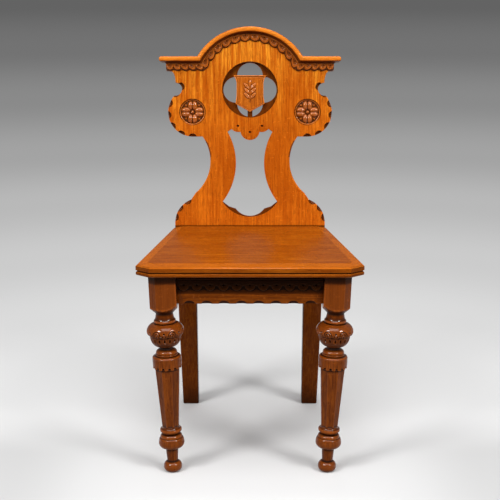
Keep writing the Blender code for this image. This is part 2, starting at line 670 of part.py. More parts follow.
def make_rosette(sign, side):
    """A round let into a lobe: four petals about a boss, on a sunk ground."""
    low = GAP - ROSETTE_DEPTH
    ground = low + ROSETTE_BASE
    centre = Vector((sign * LOBE_X, LOBE_HEIGHT))
    rosette = outline_solid("rosette_" + side, [arc(centre, ROSETTE_RADIUS, 0, 2 * pi, ROSETTE_STEPS)[:-1]],
                            low, ground, back, CARVED_OAK)
    for number in range(PETALS):
        heading = 2 * pi * number / PETALS
        out = centre + PETAL_OFFSET * Vector((cos(heading), sin(heading)))
        join(rosette, ellipsoid("petal_%s_%d" % (side, number),
                                (PETAL_LENGTH, PETAL_WIDTH, PETAL_RELIEF),
                                (*out, ground), heading, back))
    join(rosette, ellipsoid("boss_" + side, (2 * BOSS_RADIUS, 2 * BOSS_RADIUS, BOSS_RELIEF),
                            (*centre, ground), 0, back))
    return rosette


def cornice_profile():
    """Points (projection, drop below the top), clockwise from the top rear corner."""
    nose = [(CORNICE_PROJECTION - CORNICE_ROUND, 0)]
    nose += quarter(nose[0], (CORNICE_PROJECTION, CORNICE_ROUND), False, SHORT_ARC_STEPS)
    nose += [(CORNICE_PROJECTION, CORNICE_FILLET)]
    lip = (CORNICE_PROJECTION - CORNICE_SOFFIT, CORNICE_FILLET)
    cove = [lip] + quarter(lip, (CORNICE_BED, COVE_FOOT), False, SHORT_ARC_STEPS)
    return [(GAP, 0)] + nose + cove + [(GAP, COVE_FOOT)]


def arch_spring(drop):
    """Angle at which a line of the moulding meets its straight run, by its drop."""
    return asin((BOARD_TOP - ARCH_CENTRE_HEIGHT - drop) / (ARCH_RADIUS - drop))


def arch_meet_x(drop):
    """Distance from the middle at which that line meets its straight run."""
    return (ARCH_RADIUS - drop) * cos(arch_spring(drop))


def make_cornice():
    """An arched moulding, two straight runs and the returns that cap the board's ends."""
    profile = cornice_profile()
    rings = []
    turns = ARCH_STEPS
    for i in range(turns + 1):
        ring = []
        for out, drop in profile:
            start = arch_spring(drop)
            turn = start + (pi - 2 * start) * i / turns
            radius = ARCH_RADIUS - drop
            ring.append((radius * cos(turn), ARCH_CENTRE_HEIGHT + radius * sin(turn), out))
        rings.append(ring)
    loft("cornice_arch", rings, back, MOULDING_OAK)
    for sign, side in sides:
        inner = [(sign * (arch_meet_x(drop) + MITRE_GAP), BOARD_TOP - drop, out)
                 for out, drop in profile]
        outer = [(sign * (BOARD_HALF + out - MITRE_GAP), BOARD_TOP - drop, out)
                 for out, drop in profile]
        loft("cornice_" + side, [inner, outer], back, MOULDING_OAK)
        mitre = [(sign * (BOARD_HALF + out), BOARD_TOP - drop, out) for out, drop in profile]
        rear = [(sign * (BOARD_HALF + out), BOARD_TOP - drop, -BACK_THICKNESS)
                for out, drop in profile]
        loft("cornice_return_" + side, [mitre, rear], back, MOULDING_OAK)


def scalloped_run(start, end, level, depth, count):
    """A level edge of scallops that hang down from one end to the other."""
    points = []
    for i in range(count):
        for share in SCALLOP_SHARES:
            along = (i + share) / count
            points.append((start + (end - start) * along, level - depth * sin(pi * share)))
    return points + [(end, level)]


def make_bands():
    """The lunette band: arched, straight on both sides, and returned on the board's ends."""
    top = BAND_TOP
    foot = BAND_FOOT - SCALLOP_DEPTH
    outer = arc((0, ARCH_CENTRE_HEIGHT), ARCH_RADIUS - top, arch_spring(top), pi - arch_spring(top),
                ARCH_STEPS)
    start = arch_spring(foot)
    inner = []
    for i in range(LUNETTES_ARCH):
        for share in SCALLOP_SHARES:
            turn = pi - start - (pi - 2 * start) * (i + share) / LUNETTES_ARCH
            radius = ARCH_RADIUS - foot - SCALLOP_DEPTH * sin(pi * share)
            inner.append((radius * cos(turn), ARCH_CENTRE_HEIGHT + radius * sin(turn)))
    radius = ARCH_RADIUS - foot
    inner.append((radius * cos(start), ARCH_CENTRE_HEIGHT + radius * sin(start)))
    outer_face = GAP + BAND_THICKNESS
    outline_solid("lunette_band_arch", [outer + inner], GAP, outer_face, back, CARVED_OAK)
    for sign, side in sides:
        end = BOARD_HALF + outer_face
        run = scalloped_run(arch_meet_x(foot) + MITRE_GAP, end, BOARD_TOP - foot, SCALLOP_DEPTH,
                            LUNETTES_STRAIGHT)
        outline = run + [(end, BOARD_TOP - top), (arch_meet_x(top) + MITRE_GAP, BOARD_TOP - top)]
        outline = [(sign * x, y) for x, y in outline]
        outline_solid("lunette_band_" + side, [outline], GAP, outer_face, back, CARVED_OAK)
        inside = sign * (BOARD_HALF + GAP)
        outside = sign * (BOARD_HALF + outer_face)
        box("lunette_return_" + side,
            (min(inside, outside), BOARD_TOP - foot, -BACK_THICKNESS),
            (max(inside, outside), BOARD_TOP - top, 0), back, CARVED_OAK)


def upper_turning():
    """Profile from the neck under the block down to the collar, as radius and level."""
    half_ring = RING_HEIGHT / 2
    collar_foot = COLLAR_TOP_DROP + COLLAR_HEIGHT
    points = [(0, BLOCK_HEIGHT), (NECK_WIDTH / 2, BLOCK_HEIGHT), (NECK_WIDTH / 2, NECK_DROP)]
    points += quarter(points[-1], (RING_WIDTH / 2, RING_DROP - half_ring), True, SHORT_ARC_STEPS)
    points += [(RING_WIDTH / 2, RING_DROP + half_ring), (BULB_TOP_WIDTH / 2, BULB_TOP_DROP)]
    points += quarter(points[-1], (BULB_WIDTH / 2, BULB_DROP), False)
    points += [(BULB_RIM_WIDTH / 2, BULB_RIM_DROP), (BOWL_WIDTH / 2, BULB_RIM_DROP)]
    points += quarter(points[-1], (BOWL_FOOT_WIDTH / 2, BOWL_FOOT_DROP), True)
    points += [(WAIST_WIDTH / 2, WAIST_DROP)]
    points += quarter(points[-1], (CUSHION_WIDTH / 2, CUSHION_DROP), False, SHORT_ARC_STEPS)
    points += [(CUSHION_WIDTH / 2, COLLAR_TOP_DROP), (COLLAR_WIDTH / 2, COLLAR_TOP_DROP),
               (COLLAR_FOOT_WIDTH / 2, collar_foot), (0, collar_foot)]
    return [(radius, SEAT_UNDER - drop) for radius, drop in points]


def lower_turning():
    """Profile from the shaft's foot down to the sole, which a level cut then trims."""
    points = [(0, SHAFT_FOOT), (SHAFT_FOOT_WIDTH / 2, SHAFT_FOOT)]
    points += quarter(points[-1], (ANKLE_WIDTH / 2, ANKLE_LEVEL + ANKLE_HEIGHT / 2), True, SHORT_ARC_STEPS)
    points += [(ANKLE_WIDTH / 2, ANKLE_LEVEL - ANKLE_HEIGHT / 2),
               (ANKLE_NECK_WIDTH / 2, ANKLE_NECK)]
    points += quarter(points[-1], (FOOT_BULB_WIDTH / 2, FOOT_BULB_LEVEL), False)
    points += quarter(points[-1], (FOOT_NECK_WIDTH / 2, FOOT_NECK), True)
    points += [(STEM_WIDTH / 2, STEM_FOOT)]
    points += quarter(points[-1], (BALL_WIDTH / 2, BALL_LEVEL), False, SHORT_ARC_STEPS)
    points += quarter(points[-1], (SOLE_WIDTH / 2, 0), True, SHORT_ARC_STEPS)
    return points + [(SOLE_WIDTH / 2, -OVERRUN), (0, -OVERRUN)]


def block_outline(sign):
    """Square block, its outer front corner cut off."""
    half = BLOCK_WIDTH / 2
    corners = [(half, half), (-half, half), (-half, -half), (half - BLOCK_CHAMFER, -half),
               (half, BLOCK_CHAMFER - half)]
    return [(sign * x, y) for x, y in corners]


def make_front_leg(sign, side):
    """Block, bulb, collar, eight-sided shaft and turned foot, all of one piece."""
    leg_frame = new_frame("front_leg_frame_" + side, (sign * LEG_X, LEG_Y, SEAT_UNDER),
                          (0, sign * LEAN, 0), chair)
    axis = new_frame("front_leg_axis_" + side, (0, 0, -SEAT_UNDER), (0, 0, 0), leg_frame)
    outline = block_outline(sign)
    block_foot = SEAT_UNDER - BLOCK_HEIGHT
    shoulder_share = NECK_WIDTH / BLOCK_WIDTH
    levels = [(1, SEAT_UNDER + OVERRUN), (1, block_foot),
              (shoulder_share, block_foot - BLOCK_SHOULDER)]
    rings = [[(x * share, y * share, level) for x, y in outline] for share, level in levels]
    leg = loft("front_leg_" + side, rings, axis, LEG_OAK)
    join(leg, turned("upper_turning_" + side, upper_turning(), axis))
    flat = cos(pi / 8)
    shaft = cylinder("shaft_" + side, SHAFT_FOOT_WIDTH / 2 / flat, (0, 0), SHAFT_FOOT - JOIN,
                     COLLAR_FOOT + JOIN, axis, SHAFT_SIDES, SHAFT_TOP_WIDTH / 2 / flat)
    shaft.rotation_euler.z = pi / 8
    join(leg, shaft)
    join(leg, turned("lower_turning_" + side, lower_turning(), axis))
    reach = BULB_WIDTH
    cut(leg, box("leg_top_cut_" + side,
                 (sign * LEG_X - reach, LEG_Y - reach, SEAT_UNDER - GAP),
                 (sign * LEG_X + reach, LEG_Y + reach, SEAT_TOP), chair))
    foot_x = sign * (LEG_X - LEG_TOE_IN)
    cut(leg, box("leg_sole_cut_" + side, (foot_x - reach, LEG_Y - reach, -SEAT_THICKNESS),
                 (foot_x + reach, LEG_Y + reach, 0), chair))
    cut(leg, front_tenon("front_mortise_" + side, sign, GAP))
    cut(leg, side_tenon("side_front_mortise_" + side, sign, True, GAP))
    return leg


def rear_leg_front(level):
    """Distance of a rear leg's front face behind the seat's front edge, at a level."""
    return REAR_LEG_TOP_Y + (SEAT_UNDER - level) * REAR_RAKE_SHARE


def rear_leg_ring(sign, level):
    """Four corners across a rear leg, whose outer face leans in towards the foot."""
    front = rear_leg_front(level)
    widening = (REAR_LEG_TOP_WIDTH - REAR_LEG_WIDTH) * level / SEAT_UNDER
    outer = REAR_LEG_INNER + REAR_LEG_WIDTH + widening
    return [(sign * x, y, level) for x, y in
            ((REAR_LEG_INNER, front), (outer, front),
             (outer, front + REAR_LEG_DEPTH), (REAR_LEG_INNER, front + REAR_LEG_DEPTH))]


def make_rear_leg(sign, side):
    """A tapered leg, raked back to its foot, with eased edges."""
    rings = [rear_leg_ring(sign, level) for level in (0, SEAT_UNDER - GAP)]
    leg = loft("rear_leg_" + side, rings, chair, REAR_OAK)
    ease = leg.modifiers.new("eased_edges", "BEVEL")
    ease.width = REAR_LEG_CHAMFER
    ease.segments = 1
    ease.limit_method = "ANGLE"
    ease.angle_limit = radians(60)
    cut(leg, rear_tenon("rear_mortise_" + side, sign, GAP))
    cut(leg, side_tenon("side_rear_mortise_" + side, sign, False, GAP))
    return leg


def block_inner_x(level):
    """Inner face of the leaning front block at a level, from the middle."""
    return LEG_X - BLOCK_WIDTH / 2 / cos(LEAN) - (SEAT_UNDER - level) * tan(LEAN)


def front_tenon(name, sign, slack):
    """Front rail's tenon in the leg block, or its mortise when slack is given."""
    middle = FRONT_RAIL_Y + FRONT_RAIL_THICKNESS / 2
    half = TENON_THICKNESS / 2 + slack
    root = sign * (block_inner_x(RAIL_FOOT) - JOIN * 2)
    tip = sign * (block_inner_x(SEAT_UNDER) + TENON_LENGTH + slack)
    return box(name, (min(root, tip), middle - half, RAIL_FOOT + TENON_SHOULDER - slack),
               (max(root, tip), middle + half, SEAT_UNDER - TENON_SHOULDER + slack), chair)


def rear_tenon(name, sign, slack):
    """Rear rail's tenon in a rear leg, or its mortise when slack is given."""
    middle = REAR_RAIL_Y + REAR_RAIL_THICKNESS / 2
    half = TENON_THICKNESS / 2 + slack
    root = sign * (REAR_LEG_INNER - JOIN)
    tip = sign * (REAR_LEG_INNER + REAR_TENON_LENGTH + slack)
    return box(name, (min(root, tip), middle - half, RAIL_FOOT + TENON_SHOULDER - slack),
               (max(root, tip), middle + half, SEAT_UNDER - TENON_SHOULDER + slack), chair)


def side_rail_outer(y):
    """Outer face of a side rail from the middle of the chair, at a distance from the front."""
    front = LEG_X + BLOCK_WIDTH / 2 - SIDE_RAIL_FRONT_SETBACK
    rear = REAR_LEG_INNER + REAR_LEG_TOP_WIDTH - SIDE_RAIL_REAR_SETBACK
    front_y = LEG_Y + BLOCK_WIDTH / 2
    return front + (rear - front) * (y - front_y) / (REAR_LEG_TOP_Y - front_y)


def side_rail_ring(sign, low, high, inset, y_at):
    """Four corners across a side rail, inset from its faces, at a place along it."""
    corners = []
    for level, is_outer in ((low, True), (high, True), (high, False), (low, False)):
        y = y_at(level)
        outer = side_rail_outer(y)
        x = outer - inset if is_outer else outer - SIDE_RAIL_THICKNESS + inset
        corners.append((sign * x, y, level))
    return corners


def side_tenon(name, sign, at_front, slack):
    """Side rail's tenon in a leg, or its mortise when slack is given."""
    low = RAIL_FOOT + TENON_SHOULDER - slack
    high = SEAT_UNDER - TENON_SHOULDER + slack
    inset = (SIDE_RAIL_THICKNESS - TENON_THICKNESS) / 2 - slack
    front_face = LEG_Y + BLOCK_WIDTH / 2
    if at_front:
        root, tip = lambda level: front_face + JOIN, lambda level: front_face - TENON_LENGTH - slack
    else:
        root = lambda level: rear_leg_front(level) - JOIN
        tip = lambda level: rear_leg_front(level) + TENON_LENGTH + slack
    return loft(name, [side_rail_ring(sign, low, high, inset, root),
                       side_rail_ring(sign, low, high, inset, tip)], chair)


def make_front_rail():
    """Rail between the front blocks, waved along its foot, with a lunette frieze."""
    top = SEAT_UNDER - GAP
    upper = block_inner_x(top) - GAP
    lower = block_inner_x(RAIL_FOOT) - GAP
    foot = []
    for i in range(RAIL_WAVES):
        for share in SCALLOP_SHARES:
            along = (i + share) / RAIL_WAVES
            foot.append((-lower + 2 * lower * along, RAIL_FOOT + RAIL_WAVE_DEPTH * sin(pi * share)))
    outline = foot + [(lower, RAIL_FOOT), (upper, top), (-upper, top)]
    rail = outline_solid("front_rail", [outline], -FRONT_RAIL_Y - FRONT_RAIL_THICKNESS,
                         -FRONT_RAIL_Y, front_view, RAIL_OAK)
    for sign, side in sides:
        join(rail, front_tenon("front_tenon_" + side, sign, 0))
    high = SEAT_UNDER - FRIEZE_DROP
    low = high - FRIEZE_HEIGHT
    half = block_inner_x(low) - FRIEZE_END_GAP
    run = scalloped_run(-half, half, low + SCALLOP_DEPTH, SCALLOP_DEPTH, FRIEZE_LUNETTES)
    face = -FRONT_RAIL_Y + GAP + FRIEZE_THICKNESS
    outline = run + [(half, high), (-half, high)]
    frieze = loft("front_frieze", [[(x, z, depth) for x, z in outline]
                                   for depth in (-FRONT_RAIL_Y + GAP, face)], front_view, RAIL_OAK)
    pitch = 2 * half / FRIEZE_LUNETTES
    for i in range(FRIEZE_LUNETTES):
        centre = (pitch * (i - (FRIEZE_LUNETTES - 1) / 2), high - FRIEZE_DOT_DROP)
        cut(frieze, cylinder("frieze_dot_%d" % i, FRIEZE_DOT_RADIUS, centre,
                             face - FRIEZE_DOT_DEPTH, face + OVERRUN, front_view, DOT_STEPS))


def make_side_rail(sign, side):
    """Rail from the front block to the rear leg, shouldered to both."""
    low, high = RAIL_FOOT, SEAT_UNDER - GAP
    front = side_rail_ring(sign, low, high, 0, lambda level: LEG_Y + BLOCK_WIDTH / 2 + GAP)
    rear = side_rail_ring(sign, low, high, 0, lambda level: rear_leg_front(level) - GAP)
    rail = loft("side_rail_" + side, [front, rear], chair, RAIL_OAK)
    join(rail, side_tenon("side_front_tenon_" + side, sign, True, 0))
    join(rail, side_tenon("side_rear_tenon_" + side, sign, False, 0))
    return rail


def make_rear_rail():
    """Rail between the rear legs, under the foot of the back and mortised for it."""
    half = REAR_LEG_INNER - GAP
    rail = box("rear_rail", (-half, REAR_RAIL_Y, RAIL_FOOT),
               (half, REAR_RAIL_Y + REAR_RAIL_THICKNESS, SEAT_UNDER - GAP), chair, RAIL_OAK)
    for sign, side in sides:
        join(rail, rear_tenon("rear_tenon_" + side, sign, 0))
        cut(rail, foot_tenon("back_mortise_" + side, sign, GAP, chair))
    return rail


def screw_body(name, radius_gap, head_level, tip_level, centre, frame, colour=None):
    """A countersunk screw, its head at one end, or its hole when radius_gap is given."""
    way = 1 if tip_level > head_level else -1
    head = SCREW_HEAD_RADIUS + radius_gap
    body = (SCREW_HOLE_RADIUS if radius_gap else SCREW_RADIUS)
    neck_level = head_level + way * SCREW_HEAD_HEIGHT
    tip = tip_level + (way * SCREW_RADIUS if radius_gap else 0)
    start = head_level - (way * OVERRUN if radius_gap else 0)
    profile = [(0, start), (head, start), (head, head_level), (body, neck_level),
               (body, tip - way * SCREW_RADIUS), (0, tip)]
    if way > 0:
        profile = profile[::-1]
    thing = turned(name, profile, frame, colour, SCREW_STEPS, roughness=0.35, metallic=1.0)
    thing.location = (*centre, 0)
    return thing


def corner_outline(sign, at_front):
    """A corner block in plan, fitted round its leg and against two rails."""
    if at_front:
        rail_face = FRONT_RAIL_Y + FRONT_RAIL_THICKNESS + GAP
        leg_x = block_inner_x(SEAT_UNDER - CORNER_HEIGHT) - GAP
        leg_face = LEG_Y + BLOCK_WIDTH / 2 + GAP
        side_end = leg_face + CORNER_ALONG_SIDE
    else:
        rail_face = REAR_RAIL_Y - GAP
        leg_x = REAR_LEG_INNER - GAP
        leg_face = REAR_LEG_TOP_Y - GAP
        side_end = leg_face - CORNER_ALONG_SIDE
    inner_face = lambda y: side_rail_outer(y) - SIDE_RAIL_THICKNESS - 2 * GAP
    points = [(leg_x - CORNER_ALONG_RAIL, rail_face), (leg_x, rail_face), (leg_x, leg_face),
              (inner_face(leg_face), leg_face), (inner_face(side_end), side_end)]
    return [(sign * x, y) for x, y in points]


def make_corner(sign, side, at_front):
    """A corner block under the seat, bored for its screw; returns the screw's place."""
    name = "corner_block_%s_%s" % ("front" if at_front else "rear", side)
    outline = corner_outline(sign, at_front)
    block = outline_solid(name, [outline], SEAT_UNDER - CORNER_HEIGHT, SEAT_UNDER - GAP, chair,
                          BLOCK_OAK)
    along_rail, along_side = Vector(outline[0]), Vector(outline[-1])
    leg_corner = Vector(outline[2])
    centre = (along_rail + along_side + leg_corner) / 3
    return block, centre


def make_corners(seat):
    """Four corner blocks, and the screws that hold the seat down through them."""
    head = SEAT_UNDER - CORNER_HEIGHT
    tip = SEAT_UNDER + SCREW_BITE
    for at_front in (True, False):
        for sign, side in sides:
            block, centre = make_corner(sign, side, at_front)
            place_name = "%s_%s" % ("front" if at_front else "rear", side)
            hole = screw_body("seat_screw_hole_" + place_name, GAP, head, tip, centre, chair)
            cut(block, hole)
            cut(seat, hole)
            screw_body("seat_screw_" + place_name, 0, head, tip, centre, chair, STEEL)


def make_back_screws(seat, plank):
    """Screws through the foot of the back into the seat's rear edge."""
    height = -SEAT_THICKNESS / 2
    tip = BACK_SCREW_BITE
    for i in range(BACK_SCREWS):
        centre = (BACK_SCREW_SPACING * (i - (BACK_SCREWS - 1) / 2), height)
        hole = screw_body("back_screw_hole_%d" % i, GAP, -BACK_THICKNESS, tip, centre, back)
        cut(plank, hole)
        cut(seat, hole)
        screw_body("back_screw_%d" % (i + 1), 0, -BACK_THICKNESS, tip, centre, back, STEEL)


clear_scene()
chair_parts = new_collection("hall_chair")
cutters = new_collection("cutters")
sides = ((-1, "left"), (1, "right"))
chair = new_frame("chair", (0, -CHAIR_DEPTH / 2, 0), (0, 0, 0))
back = new_frame("back_frame", (0, SEAT_DEPTH, SEAT_TOP), (pi / 2 - RAKE, 0, 0), chair)
front_view = new_frame("front_view", (0, 0, 0), (pi / 2, 0, 0), chair)

seat_board = make_seat()
back_plank = make_back()
make_shield()
make_cornice()
make_bands()
make_front_rail()
make_rear_rail()
for side_sign, side_name in sides:
    make_rosette(side_sign, side_name)
    make_front_leg(side_sign, side_name)
    make_rear_leg(side_sign, side_name)
    make_side_rail(side_sign, side_name)
make_corners(seat_board)
make_back_screws(seat_board, back_plank)
join_foot_tenons(back_plank)
print("overall depth %.1f mm, lean of the front legs %.2f degrees"
      % (CHAIR_DEPTH * 1000, degrees(LEAN)))
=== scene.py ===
# %% [markdown]
# # A carved oak hall chair
# A hall chair is a hard seat for a visitor who waits by the door: a solid board on turned front
# legs, with a pierced and carved plank for a back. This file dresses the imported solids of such
# a chair. Pieces whose plain shape is right keep it, the carved and moulded ones are rebuilt in
# finer mesh over the same sizes, and every piece gets its polished oak.

# %% Load the solids
import json
from math import acos, asin, atan2, cos, hypot, log10, pi, radians, sin, sqrt, tan

import bmesh
import bpy
import numpy as np
from mathutils import Matrix, Vector

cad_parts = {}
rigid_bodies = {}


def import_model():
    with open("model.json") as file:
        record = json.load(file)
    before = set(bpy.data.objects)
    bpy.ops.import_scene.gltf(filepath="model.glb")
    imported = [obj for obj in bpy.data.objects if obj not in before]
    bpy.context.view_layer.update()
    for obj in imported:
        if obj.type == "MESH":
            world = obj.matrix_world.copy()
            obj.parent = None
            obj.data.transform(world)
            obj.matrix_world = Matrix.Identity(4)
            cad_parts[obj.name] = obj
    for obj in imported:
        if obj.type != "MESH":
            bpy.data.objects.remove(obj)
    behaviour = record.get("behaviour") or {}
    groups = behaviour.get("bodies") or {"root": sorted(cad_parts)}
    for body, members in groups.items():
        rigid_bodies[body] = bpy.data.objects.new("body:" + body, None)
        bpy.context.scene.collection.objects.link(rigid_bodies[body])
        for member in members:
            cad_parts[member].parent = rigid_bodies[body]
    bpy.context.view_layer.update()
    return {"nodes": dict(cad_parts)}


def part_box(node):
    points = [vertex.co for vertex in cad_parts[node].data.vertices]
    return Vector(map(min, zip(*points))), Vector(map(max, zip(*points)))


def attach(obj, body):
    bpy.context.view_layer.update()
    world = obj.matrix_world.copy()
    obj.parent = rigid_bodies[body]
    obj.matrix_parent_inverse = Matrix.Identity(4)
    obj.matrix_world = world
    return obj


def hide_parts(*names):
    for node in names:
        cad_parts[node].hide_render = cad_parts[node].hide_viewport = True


for thing in list(bpy.data.objects):
    bpy.data.objects.remove(thing, do_unlink=True)
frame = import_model()
scene = bpy.context.scene

# %% [markdown]
# ## Where the pieces stand
# The seat's box gives the levels that the rest hangs from. The back leans by its rake behind the
# seat, so it gets a place of its own: X across, Y up the raked face, Z out of it towards the
# sitter. Each piece is drawn flat in such a place, which keeps its numbers simple and lets the
# grain of the wood follow the piece.

# %% Places
GAP = 0.0003
RAKE = radians(8)
seat_low, seat_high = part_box("seat_board")
SEAT_TOP = seat_high.z
SEAT_UNDER = seat_low.z
FRONT_Y = seat_low.y
SIDES = ((-1, "left"), (1, "right"))

back_y = seat_high.y + GAP / cos(RAKE)
back_place = Matrix.Translation((0, back_y, SEAT_TOP)) @ Matrix.Rotation(pi / 2 - RAKE, 4, "X")
chair_place = Matrix.Translation((0, FRONT_Y, 0))
front_place = chair_place @ Matrix.Rotation(pi / 2, 4, "X")
print("seat from %.3f to %.3f m, foot of the back at y %.4f" % (SEAT_UNDER, SEAT_TOP, back_y))

# %% [markdown]
# ## Oak under polish
# Old polished oak is seen through its varnish: broad streaks of growth, thin dark fibres, short
# open pores, and pale flecks where rays are cut. Dirt and stain stay in the hollows and the
# proud edges are rubbed lighter. A picture of wood would repeat and would need unwrapping, so the
# wood is worked out in three dimensions instead: noise stretched along the fibres of each piece.
# The hollows and edges come from two values kept in the mesh, called stain_and_shade and
# wear_and_highlight. Besides stain and wear, they carry painted shade in recesses, under the seat
# and between parts, and painted highlights on edges. Some finishes also paint shade along an axis,
# and the back paints light towards its top.

# %% Oak finish
def feed(tree, node, **inputs):
    """Give a node its inputs, each a plain value or another node's socket."""
    for name, value in inputs.items():
        key = int(name[1:]) if name[1:].isdigit() else name.replace("_", " ")
        if isinstance(value, bpy.types.NodeSocket):
            tree.links.new(value, node.inputs[key])
        else:
            node.inputs[key].default_value = value


def add(tree, kind, settings=(), **inputs):
    """Add a node with its settings and inputs."""
    node = tree.nodes.new(kind)
    for name, value in dict(settings).items():
        setattr(node, name, value)
    feed(tree, node, **inputs)
    return node


def mix_colours(tree, share, first, second):
    """The first colour where the share is 0, and the second where it is 1."""
    settings = {"data_type": "RGBA"}
    return add(tree, "ShaderNodeMix", settings, i0=share, i6=first, i7=second).outputs[2]


def spread(tree, value, low, high, to_low=0.0, to_high=1.0):
    """Stretch a range of a value to another range, with soft ends."""
    settings = {"interpolation_type": "SMOOTHSTEP"}
    return add(tree, "ShaderNodeMapRange", settings, Value=value, From_Min=low, From_Max=high,
               To_Min=to_low, To_Max=to_high).outputs[0]


def product(tree, first, second):
    """Two values multiplied."""
    return add(tree, "ShaderNodeMath", {"operation": "MULTIPLY"}, i0=first, i1=second).outputs[0]


def stretched_noise(tree, where, fibre_axis, across, along, detail, shift=0.0):
    """Noise drawn out along the fibres; across and along are in spots per metre."""
    scale = [across] * 3
    scale[fibre_axis] = along
    moved = add(tree, "ShaderNodeMapping", Vector=where, Scale=scale, Location=(shift, shift, shift))
    return add(tree, "ShaderNodeTexNoise", Vector=moved.outputs[0], Scale=1.0, Detail=detail,
               Roughness=0.58, Distortion=0.25).outputs["Fac"]


def attribute(tree, name):
    """A value that the mesh keeps under a name."""
    return add(tree, "ShaderNodeAttribute", {"attribute_name": name}).outputs["Fac"]


def reach_along(tree, where, axis, start, full, most=1.0):
    """Rise from 0 to the most as a coordinate goes from its start to where it is full."""
    place = add(tree, "ShaderNodeSeparateXYZ", Vector=where).outputs[axis]
    return spread(tree, place, start, full, 0.0, most)


def new_finish(name):
    """A new material, its tree and its shader."""
    material = bpy.data.materials.new(name)
    material.use_nodes = True
    return material, material.node_tree, material.node_tree.nodes["Principled BSDF"]


# The deep tone also paints shade, and the pale tone of rubbed edges also paints highlights.
PORE_TONE = 0.42            # of the deep colour
STAIN_AND_SHADE_TONE = 0.16            # of the deep colour, for the stain in hollows
RUB_AND_LIGHT_TONE = 1.5           # of the pale colour
PAINTED_SHADE_MOST = 0.85
PLAIN_COAT = 0.2            # of the gloss
CARVED_COAT = 0.9           # where a carving is polished
COAT_ROUGHNESS = 0.07
SHINE = 0.35                # of the gloss
VARNISH_TINT = (1.0, 0.50, 0.26, 1.0)


def oak(name, fibre_axis, pale, deep, shift=0.0, gloss=0.5, fleck=0.35, painted_shade=None, painted_light=None,
        carved=False):
    """Polished oak; painted_shade gives an axis, its start and where it is full, and painted_light a
    lighter colour too.
    """
    material, tree, shader = new_finish(name)
    where = add(tree, "ShaderNodeTexCoord").outputs["Object"]

    def noise(across, along, detail, offset):
        """Noise along this piece's fibres."""
        return stretched_noise(tree, where, fibre_axis, across, along, detail, shift + offset)

    growth = noise(105, 5.5, 4, 0)
    fibre = noise(420, 9, 3, 2)
    cloud = noise(9, 3.5, 2, 4)
    pore = noise(950, 48, 2, 7)
    ray = noise(120, 210, 2, 9)
    mottle = noise(95, 26, 3, 12)
    middle = [(a + b) / 2 for a, b in zip(pale, deep)]
    open_pore = [value * PORE_TONE for value in deep]
    stain_and_shade_colour = [value * STAIN_AND_SHADE_TONE for value in deep]
    rub_and_light = [min(1.0, value * RUB_AND_LIGHT_TONE + 0.006) for value in pale]
    early = (*pale, 1)
    if painted_light:
        *reach, lit_colour = painted_light
        early = mix_colours(tree, reach_along(tree, where, *reach), early, (*lit_colour, 1))
    colour = mix_colours(tree, spread(tree, growth, 0.36, 0.64), early, (*middle, 1))
    # Each layer has a pattern, where it starts and is full, how strong it is, and its colour.
    layers = ((fibre, 0.42, 0.66, 0.85, deep), (cloud, 0.42, 0.72, 0.6, deep),
              (mottle, 0.46, 0.66, 0.5, deep), (pore, 0.56, 0.70, 0.8, open_pore),
              (ray, 0.60, 0.74, fleck, rub_and_light))
    for pattern, start, full, strength, tone in layers:
        colour = mix_colours(tree, spread(tree, pattern, start, full, 0, strength), colour, (*tone, 1))
    patchy = product(tree, attribute(tree, "wear_and_highlight"), spread(tree, growth, 0.3, 0.7, 0.3, 0.8))
    colour = mix_colours(tree, patchy, colour, (*rub_and_light, 1))
    stain_and_shade = attribute(tree, "stain_and_shade")
    colour = mix_colours(tree, product(tree, stain_and_shade, 0.92), colour, (*stain_and_shade_colour, 1))
    if painted_shade:
        colour = mix_colours(tree, reach_along(tree, where, *painted_shade, PAINTED_SHADE_MOST), colour, (*stain_and_shade_colour, 1))
    rough = spread(tree, pore, 0.5, 0.75, 0.24, 0.48)
    rougher = add(tree, "ShaderNodeMath", {"operation": "MULTIPLY_ADD"}, i0=stain_and_shade, i1=0.25,
                  i2=rough).outputs[0]
    relief = add(tree, "ShaderNodeMath", {"operation": "ADD"}, i0=spread(tree, pore, 0.5, 0.75, 0, -1),
                 i1=product(tree, fibre, -0.6)).outputs[0]
    bump = add(tree, "ShaderNodeBump", Strength=0.35, Distance=0.00025, Height=relief).outputs[0]
    coat = gloss * PLAIN_COAT
    if carved:
        coat = spread(tree, attribute(tree, "polish"), 0, 1, coat, CARVED_COAT)
    feed(tree, shader, Base_Color=colour, Roughness=rougher, Normal=bump, Coat_Weight=coat,
         Coat_Roughness=COAT_ROUGHNESS, Specular_IOR_Level=gloss * SHINE, Specular_Tint=VARNISH_TINT)
    print("finish %s: fibres along %s" % (name, "XYZ"[fibre_axis]))
    return material


# %% Finishes of the chair's pieces
ALONG_X, ALONG_Y, ALONG_Z = 0, 1, 2
SEAT_DEPTH = back_y - FRONT_Y
# Painted light makes the back lighter towards its top, and painted shade darkens its foot where it meets
# the seat.
golden = oak("golden_oak", ALONG_Y, (0.74, 0.178, 0.008), (0.42, 0.072, 0.002), gloss=0.3,
             painted_shade=("Y", 0.0035, 0.0004), painted_light=("Y", 0.17, 0.44, (1.0, 0.375, 0.024)))
